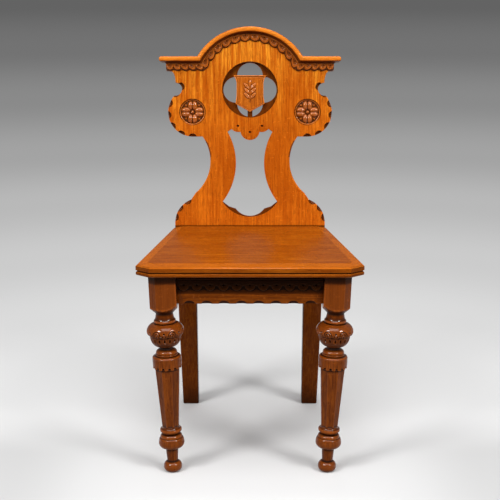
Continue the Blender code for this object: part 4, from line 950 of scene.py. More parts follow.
def make_rosette():
    """A rosette in rings from its rear edge in to its middle."""
    turns = [2 * pi * i / ROSETTE_SPOKES for i in range(ROSETTE_SPOKES)]
    rings = [[(ROSETTE_RADIUS * cos(a), ROSETTE_RADIUS * sin(a), GAP - ROSETTE_DEPTH) for a in turns]]
    for j in range(ROSETTE_RINGS, 0, -1):
        radius = ROSETTE_RADIUS * j / ROSETTE_RINGS
        rings.append([(radius * cos(a), radius * sin(a), ROSETTE_GROUND + rosette_height(radius, a))
                      for a in turns])
    return loft("rosette", rings)


for side, word in SIDES:
    rosette = make_rosette()
    note_age(rosette, 0.00016, face=ROSETTE_GROUND + RIM_HEIGHT)
    polish_above(rosette, ROSETTE_GROUND + 0.0010, ROSETTE_GROUND + 0.0028)
    place = back_place @ Matrix.Translation((side * LOBE_CENTRE[0], LOBE_CENTRE[1], 0))
    add_piece("carved_rosette_" + word, rosette, place, carved_oak, "rosette_" + word)

# %% [markdown]
# ## Shield
# A small shield stands in the round opening, held by the cusps of the web and by a link under its
# point. It carries a plain sprig: one top leaf and pairs of leaves up a stem, inside a raised
# edge. Again one height function over a grid does it, here on a grid that narrows to the point.

# %% Shield with its sprig
SHIELD_THICKNESS = 0.008
SHIELD_TOP = 0.0318         # heights from the centre of the round opening
SHIELD_EAR_LOW = 0.0148
SHIELD_HIP = -0.0320
SHIELD_POINT = -0.0501
SHIELD_HALF = 0.0303
SHIELD_EAR_HALF = 0.0372
SHIELD_HIP_HALF = 0.0326
SPRIG_FOOT = -0.0270
SPRIG_TOP = 0.0225
LEAF_PAIRS = 3
LEAF_LENGTH = 0.0175
LEAF_WIDTH = 0.0076
LEAF_HEIGHT = 0.0027
LEAF_RIB = 0.0007
LEAF_SPREAD = radians(42)
STEM_HALF = 0.0012
STEM_HEIGHT = 0.0020
SHIELD_RIM = 0.0010
SHIELD_GROOVE = 0.0006


def shield_half_width(height):
    """Half the shield's width at a height: eared at the top, pointed at the foot."""
    if height > SHIELD_EAR_LOW:
        share = (height - SHIELD_EAR_LOW) / (SHIELD_TOP - SHIELD_EAR_LOW)
        return SHIELD_HALF + (SHIELD_EAR_HALF - SHIELD_HALF) * share ** 1.6
    if height > SHIELD_HIP:
        return SHIELD_HALF + (SHIELD_HIP_HALF - SHIELD_HALF) * ramp(height, -0.012, SHIELD_HIP)
    return max(0.0006, SHIELD_HIP_HALF * (height - SHIELD_POINT) / (SHIELD_HIP - SHIELD_POINT))


def sprig_height(x, height):
    """The leaves and the stem, above the shield's field."""
    leaves = [(0, SPRIG_TOP - LEAF_LENGTH / 2, 0)]
    step = (SPRIG_TOP - LEAF_LENGTH - SPRIG_FOOT) / LEAF_PAIRS
    for pair in range(LEAF_PAIRS):
        level = SPRIG_FOOT + 0.0085 + step * pair
        leaves += [(side * LEAF_LENGTH * 0.40, level + LEAF_LENGTH * 0.30, -side * LEAF_SPREAD)
                   for side, _ in SIDES]
    best = 0.0
    for leaf_x, leaf_height, heading in leaves:
        dx, dy = x - leaf_x, height - leaf_height
        along = -dx * sin(heading) + dy * cos(heading)
        across = dx * cos(heading) + dy * sin(heading)
        share = along / (LEAF_LENGTH / 2)
        if abs(share) < 1:
            half = LEAF_WIDTH / 2 * (1 - share * share) ** 0.75
            if abs(across) < half:
                swell = sqrt(1 - (across / half) ** 2) * (1 - 0.4 * share * share)
                best = max(best, LEAF_HEIGHT * swell - LEAF_RIB * dip(across, LEAF_RIB))
    if SPRIG_FOOT < height < SPRIG_TOP - LEAF_LENGTH * 0.7:
        best = max(best, STEM_HEIGHT * dip(x, STEM_HALF))
    return best


shield_rear = GAP - RECESS_DEPTH
shield_face = shield_rear + SHIELD_THICKNESS


def shield_surface(along, down):
    """A point of the shield's face."""
    height = SHIELD_TOP + (SHIELD_POINT - SHIELD_TOP) * down
    half = shield_half_width(height)
    x = (2 * along - 1) * half
    foot = SHIELD_POINT + (SHIELD_HIP - SHIELD_POINT) * abs(x) / SHIELD_HIP_HALF
    inside = min(half - abs(x), SHIELD_TOP - height, (height - foot) * 0.88)
    rim = SHIELD_RIM * (1 - ramp(inside, 0.0018, 0.0026)) - 0.0008 * (1 - ramp(inside, 0, 0.0008))
    groove = SHIELD_GROOVE * dip(inside - 0.0033, 0.0010)
    return x, ARCH_HEIGHT + height, shield_face + rim - groove + sprig_height(x, height)


shield = carved_slab("shield", 96, 124, shield_surface, shield_rear)
note_age(shield, 0.00011)
polish_above(shield, shield_face + 0.0004, shield_face + 0.0012)
add_piece("carved_shield", shield, back_place, shield_oak, "shield")

# %% [markdown]
# ## Seat board
# The seat is one thick board with clipped front corners. Round its front and sides runs a moulded
# edge: a sloping thumb, a square face, a fine groove and a bead. The loft goes level by level from
# the underside to the top, each ring the same outline drawn in by the moulding's depth there.

# %% Seat
SEAT_SIDE_HALF = seat_high.x
SEAT_FRONT_HALF = SEAT_SIDE_HALF - 0.028
SEAT_REAR_HALF = SEAT_SIDE_HALF - 0.052
SEAT_CLIP = 0.024
THUMB_RUN = 0.0215
THUMB_DROP = 0.005
THUMB_QUIRK = 0.0007
SQUARE_FACE = 0.009
THUMB_STEPS = 10
GROOVE = 0.0022
GROOVE_DEPTH = 0.0028
BEAD_DEPTH = 0.0021         # of its rounding
BEAD_STEPS = 12
UNDER_EASE = 0.004


def seat_profile():
    """Points (depth drawn in, level), from the underside to the top."""
    face_top = SEAT_TOP - THUMB_DROP
    face_foot = face_top - SQUARE_FACE
    groove_foot = face_foot - GROOVE
    bead = groove_foot - SEAT_UNDER
    points = [(UNDER_EASE, SEAT_UNDER)]
    points += [(BEAD_DEPTH * abs(2 * i / BEAD_STEPS - 1) ** 3.5 + 0.0002,
                SEAT_UNDER + bead * (0.01 + 0.98 * i / BEAD_STEPS)) for i in range(BEAD_STEPS + 1)]
    points += [(GROOVE_DEPTH, groove_foot), (GROOVE_DEPTH, groove_foot + GROOVE * 0.8)]
    points += [(0.0005, face_foot), (0, face_foot + 0.0005), (0, face_top - 0.0006)]
    for i in range(1, THUMB_STEPS + 1):
        share = i / THUMB_STEPS
        rise = 0.5 * share + 0.5 * sqrt(1 - (1 - share) ** 2)
        points.append((THUMB_RUN * share, face_top + (THUMB_DROP - THUMB_QUIRK) * rise))
    return points + [(THUMB_RUN + 0.0002, SEAT_TOP - 0.0003), (THUMB_RUN + 0.0006, SEAT_TOP)]


def seat_ring(inset, level):
    """The seat's outline, drawn in on the front and sides; its rear meets the raked back."""
    side_line = Vector((SEAT_SIDE_HALF - SEAT_REAR_HALF, SEAT_DEPTH - SEAT_CLIP)).normalized()
    clip_line = Vector((SEAT_SIDE_HALF - SEAT_FRONT_HALF, SEAT_CLIP)).normalized()
    rear = SEAT_DEPTH - GAP / cos(RAKE) - (SEAT_TOP - level) * tan(RAKE)
    slope = (SEAT_SIDE_HALF - SEAT_REAR_HALF) / (SEAT_DEPTH - SEAT_CLIP)
    side_inset = inset / side_line.y
    rear_half = SEAT_SIDE_HALF - (rear - SEAT_CLIP) * slope - side_inset
    # The clip's line is x = front half + (y * run / depth), moved in by its inset.
    run = (SEAT_SIDE_HALF - SEAT_FRONT_HALF) / SEAT_CLIP
    clip_inset = inset / clip_line.y
    front_x = SEAT_FRONT_HALF + inset * run - clip_inset
    corner_x = SEAT_SIDE_HALF - side_inset + slope * SEAT_CLIP
    side_y = (corner_x - SEAT_FRONT_HALF + clip_inset) / (run + slope)
    side_x = SEAT_FRONT_HALF + run * side_y - clip_inset
    half = [(front_x, inset), (side_x, side_y), (rear_half, rear)]
    return [(x, y, level) for x, y in half + [(-x, y) for x, y in reversed(half)]]


# %% The seat and its wear
END_GRAIN_STAIN = 0.3       # the clipped corners show end grain, which drinks more stain
EDGE_STAIN = 0.14
face_foot = SEAT_TOP - THUMB_DROP - SQUARE_FACE


def seat_stain_wear_and_highlight(middle, normal, point):
    """How darkened a corner of a face of the seat is, and how much wear and painted highlight it gets."""
    level, tilt = middle.z, normal.z
    clipped = min(abs(normal.x), abs(normal.y)) > 0.14 and tilt < 0.99
    if face_foot - GROOVE - 0.0004 < point.z < face_foot - 0.0002:
        stain = 1.0
    elif clipped:
        stain = END_GRAIN_STAIN
    else:
        stain = EDGE_STAIN if point.z < face_foot + SQUARE_FACE - 0.0008 else 0.0
    # The top arris, the thumb and the bead get wear with a painted highlight.
    rub_and_highlight = 0.0
    if tilt < 0.98 and level > SEAT_TOP - 0.0008:
        rub_and_highlight = 0.8
    elif 0.15 < tilt < 0.9995 and level > SEAT_TOP - THUMB_DROP:
        rub_and_highlight = 0.85 if level < SEAT_TOP - THUMB_DROP + 0.0012 else 0.55
    elif level < face_foot - GROOVE and 0.3 < tilt < 0.95:
        rub_and_highlight = 0.5
    return stain, rub_and_highlight


seat = loft("seat_plank", [seat_ring(inset, level) for inset, level in seat_profile()])
darken_and_lighten_faces(seat, seat_stain_wear_and_highlight)
add_piece("seat_plank", seat, chair_place, seat_oak, "seat_board", crease=radians(30))

# %% [markdown]
# ## Front rail and frieze
# Between the front legs runs a rail. Eight half-round gouge cuts are chopped into its lower arris
# and give the edge its waves. A frieze of punched lunettes is planted on it high under the seat,
# where it stays in the shade.

# %% Front rail
RAIL_HEIGHT = 0.0605
RAIL_Y = 0.030
RAIL_THICKNESS = 0.022
RAIL_WAVES = 8
LEG_X = 0.175
LEG_TOE_IN = 0.0160
BLOCK = 0.0546
LEAN = asin(LEG_TOE_IN / SEAT_UNDER)
GOUGE = (0.0215, 0.0135, 0.0080)
RAIL_END = 0.4              # plain wood beside the gouge cuts, in waves
rail_foot = SEAT_UNDER - RAIL_HEIGHT


def block_inner_x(level):
    """Inner face of the leaning front block at a level."""
    return LEG_X - BLOCK / 2 / cos(LEAN) - (SEAT_UNDER - level) * tan(LEAN)


upper_half = block_inner_x(SEAT_UNDER) - GAP
lower_half = block_inner_x(rail_foot) - GAP
wave = 2 * lower_half / (RAIL_WAVES + RAIL_END)
gouge_places = [wave * (i - (RAIL_WAVES - 1) / 2) for i in range(RAIL_WAVES)]
outline = [(-lower_half, rail_foot), (lower_half, rail_foot), (upper_half, SEAT_UNDER - GAP),
           (-upper_half, SEAT_UNDER - GAP)]


def rail_gouge_shade(middle, *_):
    """Painted shade for the faces inside the gouge cuts."""
    height, depth = middle.y - rail_foot, -RAIL_Y - middle.z
    beside = min(abs(middle.x - x) for x in gouge_places)
    scooped = beside < GOUGE[0] / 2 and 0.00005 < depth < GOUGE[2] / 2 and 0.00001 < height < GOUGE[1] / 2
    return (1.0 if scooped else 0.0), 0.0


gouges = [scoop(*GOUGE, (x, rail_foot, -RAIL_Y), 0) for x in gouge_places]
rail = carve(flat_board("front_rail", [outline], -RAIL_Y - RAIL_THICKNESS, -RAIL_Y, EASE), gouges)
darken_and_lighten_faces(rail, rail_gouge_shade)
add_piece("oak_front_rail", rail, front_place, rail_oak, "front_rail", crease=radians(30))

# %% Frieze
FRIEZE_DROP = 0.008
FRIEZE_HEIGHT = 0.0255
FRIEZE_THICKNESS = 0.004
FRIEZE_LUNETTES = 11
FRIEZE_DOT_DROP = 0.0135
FRIEZE_TONGUE = 0.0098
FRIEZE_LINE_DROP = 0.0035   # of the fine line along the top
FRIEZE_COLUMNS = 34         # in each lunette
frieze_top = SEAT_UNDER - FRIEZE_DROP
frieze_half = block_inner_x(frieze_top - FRIEZE_HEIGHT) - 0.0015
frieze_pitch = 2 * frieze_half / FRIEZE_LUNETTES


def frieze_surface(along, down):
    """A point of the frieze's face."""
    place = along * FRIEZE_LUNETTES
    drop = (FRIEZE_HEIGHT - SCALLOP * (1 - scalloped(place))) * down
    x = ((place % 1.0) - 0.5) * frieze_pitch
    cut = lunette(x, drop, FRIEZE_TONGUE, FRIEZE_DOT_DROP)
    cut += 0.001 * dip(hypot(x, drop - FRIEZE_DOT_DROP), 0.0030)
    cut += 0.001 * dip(drop - FRIEZE_LINE_DROP, 0.0009)
    return (2 * along - 1) * frieze_half, frieze_top - drop, FRIEZE_THICKNESS + GAP - RAIL_Y - cut


frieze = carved_slab("lunette_frieze", FRIEZE_LUNETTES * FRIEZE_COLUMNS, FRIEZE_COLUMNS,
                     frieze_surface, GAP - RAIL_Y)
note_age(frieze, face=FRIEZE_THICKNESS + GAP - RAIL_Y)
add_piece("lunette_frieze", frieze, front_place, frieze_shade_oak, "front_frieze")

# %% [markdown]
# ## Front legs
# Each front leg is turned from one square: a block that takes the rails, a bulb over a fluted
# bowl, a collar, a shaft planed to eight sides and a ball foot. A lathe profile alone would give
# only the round parts, so the leg is a stack of rings whose radius may change with the heading:
# square in the block, eight-sided in the shaft, round elsewhere, less whatever is carved away.

# %% Shapes of the leg's rings
SPOKES = 192
BLOCK_FOOT = SEAT_UNDER - 0.0723
SPOKE = 2 * pi / SPOKES
BLOCK_EASE = BLOCK / 2 * (1 - tan(pi / 4 - SPOKE))          # a corner runs from spoke to spoke
BLOCK_CHAMFER = BLOCK / 2 * (1 - tan(14 * SPOKE))
BULB_ARCHES = 7
BOWL_FLUTES = 18
COLLAR_TONGUES = 14
BULB_RADIUS = 0.03765
BULB_LEVEL = 0.3018         # where the bulb is widest
BULB_TUCK = 0.0026          # how far it draws in below that
LEDGE = 0.2950              # lower edge of the bulb
COLLAR_RADIUS = 0.0294
COLLAR_TUCK = 0.0005
COLLAR_TOP = 0.2462
COLLAR_FOOT = 0.2248
SHAFT_TOP = COLLAR_FOOT - 0.0006
SHAFT_FOOT = 0.0987
LONGEST_STEP = 0.0025       # between two rings


def sided(turn, faces):
    """Distance from the axis to an outline of flat sides, given as (heading, distance)."""
    return min(distance / cos(turn - heading) for heading, distance in faces
               if cos(turn - heading) > 0.1)


def block_faces(side):
    """The square, its corners eased and its outer front corner cut off."""
    half = BLOCK / 2
    faces = [(i * pi / 2, half) for i in range(4)]
    faces += [(pi / 4 + i * pi / 2, (2 * half - BLOCK_EASE) / sqrt(2)) for i in range(4)]
    clipped = -pi / 4 if side > 0 else -3 * pi / 4
    return faces + [(clipped, (2 * half - BLOCK_CHAMFER) / sqrt(2))]


def upper_profile():
    """Points (kind, radius, level) from under the block down to the collar."""
    shoulder = [(0.0400, BLOCK_FOOT + 0.0118), (BLOCK / 2, BLOCK_FOOT), (0.0178, BLOCK_FOOT - 0.0088)]
    neck = [(0.01735, 0.3385), (0.0175, 0.3370), (0.0187, 0.3308), (0.0205, 0.3260)]
    ring = [(0.0215, 0.3252), (0.0222, 0.3243), (0.0223, 0.3212), (0.0216, 0.3203), (0.0208, 0.3184)]
    bulb = quarter(ring[-1], (BULB_RADIUS, BULB_LEVEL), False, 24)
    bulb += [(BULB_RADIUS - BULB_TUCK * (i / 14) ** 2, BULB_LEVEL - (BULB_LEVEL - LEDGE) * i / 14)
             for i in range(1, 15)]
    bowl = [(0.0321, LEDGE - 0.0006)]
    bowl += quarter(bowl[-1], (0.0165, 0.2704), True, 26)
    waist = [(0.0127, 0.2684), (0.0127, 0.2638)]
    waist += quarter(waist[-1], (0.0218, 0.2562), False, 10)
    beads = [(0.0218, 0.2552), (0.0212, 0.2546), (0.0224, 0.2541), (0.0228, 0.2534), (0.0227, 0.2520),
             (0.0221, 0.2511), (0.0234, 0.2505)]
    beads += quarter(beads[-1], (0.0293, COLLAR_TOP), False, 8)
    collar = [(COLLAR_RADIUS - COLLAR_TUCK * (i / 30) ** 1.5,
               COLLAR_TOP - (COLLAR_TOP - COLLAR_FOOT) * i / 30) for i in range(31)]
    members = (("shoulder", shoulder), ("round", neck + ring), ("bulb", bulb),
               ("ledge", [(0.0334, LEDGE - 0.0003)]), ("bowl", bowl), ("round", waist + beads),
               ("collar", collar), ("collar_ledge", [(0.0262, COLLAR_FOOT - 0.0003)]))
    return [(kind, *point) for kind, points in members for point in points]


def lower_profile():
    """Points from the shaft's foot to the sole."""
    ring = [(0.0172, 0.0985)]
    ring += quarter(ring[-1], (0.0216, 0.0930), True, 7)
    ring += [(0.0221, 0.0922), (0.0221, 0.0884), (0.0214, 0.0875)]
    ball = [(0.0164, 0.0820)]
    ball += quarter(ball[-1], (0.0226, 0.0748), False, 8)
    ball += [(0.0223, 0.0742)]
    ball += quarter(ball[-1], (0.0264, 0.0625), False, 12)
    ball += quarter(ball[-1], (0.0134, 0.0507), True, 14)
    foot = [(0.0129, 0.0500), (0.0108, 0.0212)]
    foot += quarter(foot[-1], (0.0188, 0.0105), False, 10)
    foot += quarter(foot[-1], (0.0120, 0.0008), True, 9)
    return [("round", *point) for point in ring + ball + foot]


# %% Carving of the legs
ARCH_CUT = 0.0019           # depth of the lines, stems and tongues on the bulb
DOT_CUT = 0.0026
FLUTE_CUT = 0.0034
FLUTE_HALF = (0.0023, 0.0048)
NOTCH_CUT = 0.0042          # between the collar's tongues
NOTCH_HALF = 0.0032
BULB_SCALLOP = 0.0016
COLLAR_SCALLOP = 0.0018
SOLE_SHARE = 0.72           # of the foot's last ring
SOLE_EASE = 0.0004


def around(turn, count):
    """Share of the way through one of so many equal motifs round the leg."""
    return ((turn + pi / 2) / (2 * pi) * count + 0.5) % 1.0


def collar_notch(turn, level):
    """Depth of the notches between the collar's tongues, from 0 to 1."""
    x = (0.5 - abs(around(turn, COLLAR_TONGUES) - 0.5)) * 2 * pi * 0.0292 / COLLAR_TONGUES
    on_collar = ramp(level, COLLAR_FOOT - 0.0008, COLLAR_FOOT - 0.0004)
    return dip(x, NOTCH_HALF) * on_collar * ramp(level, COLLAR_FOOT + 0.0052, COLLAR_FOOT + 0.0022)


def leg_radius(kind, radius, level, turn, faces):
    """Radius of the leg in one direction, with the carving taken off."""
    if kind == "block":
        return sided(turn, faces)
    if kind == "shoulder":
        return min(radius, sided(turn, faces))
    if kind == "eight":
        return radius / cos((turn + pi / 8) % (pi / 4) - pi / 8)
    if kind == "bulb":
        width = 2 * pi * radius / BULB_ARCHES
        x = (around(turn, BULB_ARCHES) - 0.5) * width
        beside = width / 2 - abs(x)
        reach = hypot(beside, (level - LEDGE - 0.0025) * 0.85)
        above = ramp(level, LEDGE + 0.0004, LEDGE + 0.0020)
        lines = max(dip(reach - 0.0084, 0.0016), dip(reach - 0.0048, 0.0013)) * above
        stem = dip(beside, 0.0012) * ramp(level, LEDGE + 0.0075, LEDGE + 0.0050)
        tongue = dip(hypot(x, (level - LEDGE - 0.0010) * 0.7) - 0.0036, 0.0012) * above
        tongue *= ramp(level, LEDGE + 0.0055, LEDGE + 0.0035)
        dot = dip(hypot(x, level - LEDGE - 0.0088), 0.0026)
        return radius - ARCH_CUT * max(lines, stem * 0.8, tongue) - DOT_CUT * dot
    if kind == "bowl":
        x = (around(turn, BOWL_FLUTES) - 0.5) * 2 * pi * radius / BOWL_FLUTES
        inside = hypot(x / FLUTE_HALF[0], (level - LEDGE + 0.0085) / FLUTE_HALF[1])
        return radius - FLUTE_CUT * dip(inside, 1)
    if kind == "collar":
        x = 2 * abs(around(turn, COLLAR_TONGUES) - 0.5)
        drawn_in = 0.0006 * x ** 4 * ramp(COLLAR_TOP - level, 0.004, 0.012)
        return radius - drawn_in - NOTCH_CUT * collar_notch(turn, level)
    return radius


def leg_level(kind, level, turn):
    """Level of a ring's point; the lower edges of the bulb and the collar are scalloped."""
    if kind in ("bulb", "ledge", "bowl"):
        lift = BULB_SCALLOP * (1 - scalloped(around(turn, 2 * BULB_ARCHES)))
        from_above = ramp(level, LEDGE + 0.0060, LEDGE + 0.0004)
        from_below = ramp(level, LEDGE - 0.0020, LEDGE - 0.0008)
        return level + lift * min(from_above, from_below)
    if kind in ("collar", "collar_ledge"):
        lift = COLLAR_SCALLOP * (1 - scalloped(around(turn, COLLAR_TONGUES)))
        return level + lift * ramp(level, COLLAR_FOOT + 0.0060, COLLAR_FOOT)
    return level


def close_steps(stack):
    """Put more rings into the long plain stretches."""
    closer = stack[:1]
    for (kind, radius, level), (next_kind, next_radius, next_level) in zip(stack, stack[1:]):
        steps = int((level - next_level) / LONGEST_STEP)
        for i in range(1, steps + 1):
            share = i / (steps + 1)
            closer.append((kind, radius + (next_radius - radius) * share,
                           level + (next_level - level) * share))
        closer.append((next_kind, next_radius, next_level))
    return closer


def make_leg(side):
    """One leg, upright; its block and its sole are trimmed to the leg's lean."""
    faces = block_faces(side)
    stack = [("block", 0, level) for level in (SEAT_UNDER, 0.400, 0.380, BLOCK_FOOT + 0.0125)]
    stack += upper_profile()
    stack += [("eight", 0.0240 - 0.0075 * i / 8, SHAFT_TOP + (SHAFT_FOOT - SHAFT_TOP) * i / 8)
              for i in range(9)]
    turns = [2 * pi * i / SPOKES for i in range(SPOKES)]
    rings = []
    for kind, radius, level in close_steps(stack + lower_profile()):
        ring = []
        for turn in turns:
            reach = leg_radius(kind, radius, level, turn, faces)
            ring.append([reach * cos(turn), reach * sin(turn), leg_level(kind, level, turn)])
        rings.append(ring)
    sole = [[x * SOLE_SHARE, y * SOLE_SHARE, 0.0] for x, y, _ in rings[-1]]

    def trimmed(point, plane):
        """Level, on the upright leg, of a plane that lies flat once the leg leans."""
        return SEAT_UNDER + (plane - SEAT_UNDER + side * point[0] * sin(LEAN)) / cos(LEAN)

    for point in rings[-1]:
        point[2] = max(point[2], trimmed(point, 0.0) + SOLE_EASE)
    rings.append(sole)
    for ring, plane in ((rings[0], SEAT_UNDER - GAP), (sole, 0.0)):
        for point in ring:
            point[2] = trimmed(point, plane)
    return loft("front_leg", rings)


# %% Front legs in place
LEG_SETBACK = 0.0413
# Levels that lie in shade, each with its reach up and down.
SHADED_LEVELS = ((0.3425, 0.0058), (0.2666, 0.0064), (0.2546, 0.0008), (0.2508, 0.0011),
                 (0.2228, 0.0026), (0.0990, 0.0016), (0.0822, 0.0026), (0.0743, 0.0007),
                 (0.0495, 0.0034), (0.0218, 0.0016))


def leg_shade_and_light(point):
    """Painted shade, other darkening and painted light of a point of the leg, from where it lies."""
    shaded = 0.9 * max(dip(point.z - level, reach) for level, reach in SHADED_LEVELS)
    # Painted shadow of the seat on the top of the block.
    seat_shadow_on_block = 0.9 * ramp(point.z, 0.4020, 0.4060)
    # Painted shade in the bowl under the bulb.
    bowl = 0.5 * dip(point.z - 0.2810, 0.0150)
    # The shaft below the collar is painted a little darker, and the collar's notches dark.
    shaft = 0.17 * ramp(point.z, 0.232, 0.222)
    notch = collar_notch(atan2(point.y, point.x), point.z)
    # Painted light: the block is painted lighter, and a band round the bulb stands for its highlights.
    lit_block = 0.4 * ramp(point.z, 0.345, 0.355)
    bulb_highlight = 0.35 * dip(point.z - 0.308, 0.011)
    return max(shaded, seat_shadow_on_block, bowl, shaft, notch), max(lit_block, bulb_highlight)


for side, word in SIDES:
    leg = make_leg(side)
    note_age(leg, 0.00011)
    stain_and_shade, wear_and_highlight = (leg.attributes[name].data for name in ("stain_and_shade", "wear_and_highlight"))
    # The leg's painted shade and painted light are added to the stain and wear of its hollows and edges.
    for i, vertex in enumerate(leg.vertices):
        shade, rub_and_light = leg_shade_and_light(vertex.co)
        stain_and_shade[i].value = max(stain_and_shade[i].value, shade)
        wear_and_highlight[i].value = max(wear_and_highlight[i].value, rub_and_light)
    store(leg, "polish", [ramp(vertex.normal.z, 0.05, 0.4) for vertex in leg.vertices])
    leg.transform(Matrix.Translation((0, 0, SEAT_UNDER)) @ Matrix.Rotation(side * LEAN, 4, "Y")
                  @ Matrix.Translation((0, 0, -SEAT_UNDER)))
    place = Matrix.Translation((side * LEG_X, FRONT_Y + LEG_SETBACK, 0))
    add_piece("turned_leg_" + word, leg, place, leg_oak, "front_leg_" + word,
              crease=radians(34))

# %% [markdown]
# ## Rear legs, rails and blocks
# The square rear legs, the side and rear rails and the corner blocks under the seat are plain
# joinery, and the solids already have their true shape. They stay, and get their oak. A weld and a
# fine bevel, laid over them as modifiers, ease the saw-sharp arrises of rails and blocks.

# %% Plain joinery
def dress(node, finish, ease=None):
    """Give a kept solid its finish, and ease its arrises if asked."""
    solid = frame["nodes"][node]
    for slot in solid.material_slots:
        slot.material = finish
    if ease:
        weld = solid.modifiers.new("weld", "WELD")
        weld.merge_threshold = 0.00002
        bevel = solid.modifiers.new("ease", "BEVEL")
        bevel.width = ease
        bevel.segments = 2
        bevel.limit_method = "ANGLE"
        bevel.angle_limit = radians(40)


for _, word in SIDES:
    dress("rear_leg_" + word, rear_oak)
    dress("side_rail_" + word, side_rail_oak, 0.0006)
    dress("corner_block_front_" + word, block_oak, 0.0004)
    dress("corner_block_rear_" + word, block_oak, 0.0004)
dress("rear_rail", rail_oak, 0.0006)
print("kept solids dressed")

# %% [markdown]
# ## Screws
# Slotted steel screws hold the seat down through the corner blocks, and three more pass through
# the foot of the back into the seat. Only their countersunk heads show. Each is a turned shape
# with its slot cut across.

# %% Steel and screws
BRIGHT = (0.42, 0.41, 0.39, 1)
RUST = (0.17, 0.075, 0.03, 1)
SCREW_RADIUS = 0.0022
HEAD_RADIUS = 0.0045
HEAD_HEIGHT = 0.003
HEAD_EASE = 0.0003
SLOT_HALF = 0.0006
SLOT_DEPTH = 0.0012
BACK_SCREW_LENGTH = 0.053


def steel(name):
    """Dull steel with turning marks and a little rust in it."""
    material, tree, shader = new_finish(name)
    where = add(tree, "ShaderNodeTexCoord").outputs["Object"]
    spots = add(tree, "ShaderNodeTexNoise", Vector=where, Scale=900.0, Detail=4.0).outputs["Fac"]
    marks = add(tree, "ShaderNodeTexNoise", Vector=where, Scale=2600.0, Detail=2.0).outputs["Fac"]
    colour = mix_colours(tree, spread(tree, spots, 0.52, 0.70), BRIGHT, RUST)
    rough = spread(tree, spots, 0.4, 0.7, 0.32, 0.75)
    bump = add(tree, "ShaderNodeBump", Strength=0.4, Distance=0.0001, Height=marks).outputs[0]
    feed(tree, shader, Base_Color=colour, Roughness=rough, Normal=bump, Metallic=1.0)
    return material


def make_screw(length):
    """A countersunk screw that points up from its slotted head."""
    profile = [(HEAD_RADIUS - HEAD_EASE, 0), (HEAD_RADIUS, HEAD_EASE), (SCREW_RADIUS, HEAD_HEIGHT),
               (SCREW_RADIUS, length - SCREW_RADIUS), (0.0002, length)]
    slot = block((-SLOT_HALF, -0.006, -0.001), (SLOT_HALF, 0.006, SLOT_DEPTH))
    return carve(turned("screw", profile, 32), [slot])


screw_steel = steel("screw_steel")
for node in sorted(name for name in frame["nodes"] if "screw" in name):
    low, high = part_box(node)
    x, y = (low.x + high.x) / 2, (low.y + high.y) / 2
    length = high.z - low.z
    place = Matrix.Translation((x, y, low.z))
    if node.startswith("back"):
        length = BACK_SCREW_LENGTH
        place = back_place @ Matrix.Translation((x, (SEAT_UNDER - SEAT_TOP) / 2, -BACK_THICKNESS))
    # No two slots stop at the same turn; the name gives each its own.
    slot_turn = radians(35 + 50 * len(node) + 23 * ord(node[-1]))
    add_piece("slotted_" + node, make_screw(length), place @ Matrix.Rotation(slot_turn, 4, "Z"),
              screw_steel, node)

# %% [markdown]
# ## Floor and surround
# The photograph was taken on a pale floor that darkens away behind the chair. One wide floor
# does both: close to the chair it is a plain matt surface that takes the shadow, and further out
# it shows an even tone that falls from near white to mid grey with the distance.

# %% Floor
FLOOR_PAINT = 0.85
# Painted shade darkens the matt paint towards the front corners.
PAINTED_CORNER_SHADE = 0.60         # the front corners of the picture are darker
CORNER_ASIDE = (0.12, 0.50) # where that starts and is full, to either side
CORNER_AHEAD = (0.15, -0.12)
FLOOR_BOUNCE = 0.35         # colour for the light that the floor throws back at the chair
FLOOR_NEAR = 0.45           # metres from the chair's middle
FLOOR_BLEND = 1.4
TONES_START = 0.55
FLOOR_FAR = 60.0
FLOOR_PALE = 0.90
FLOOR_DARK = 0.125
FLOOR_TONES = ((0.15, 0.715), (0.26, 0.60), (0.36, 0.483), (0.45, 0.367), (0.57, 0.254), (0.72, 0.171))
FLOOR_RIM = 120.0
FLOOR_LEVEL = -0.0002


def grey(tone):
    """A grey colour of one tone."""
    return tone, tone, tone, 1


def seen_directly(tree):
    """1 for rays from the camera, also by a reflection or through glass, and 0 for stray light."""
    path = add(tree, "ShaderNodeLightPath").outputs
    seen = path["Is Camera Ray"]
    for kind in ("Is Glossy Ray", "Is Transmission Ray"):
        seen = add(tree, "ShaderNodeMath", {"operation": "MAXIMUM"}, i0=seen, i1=path[kind]).outputs[0]
    return seen


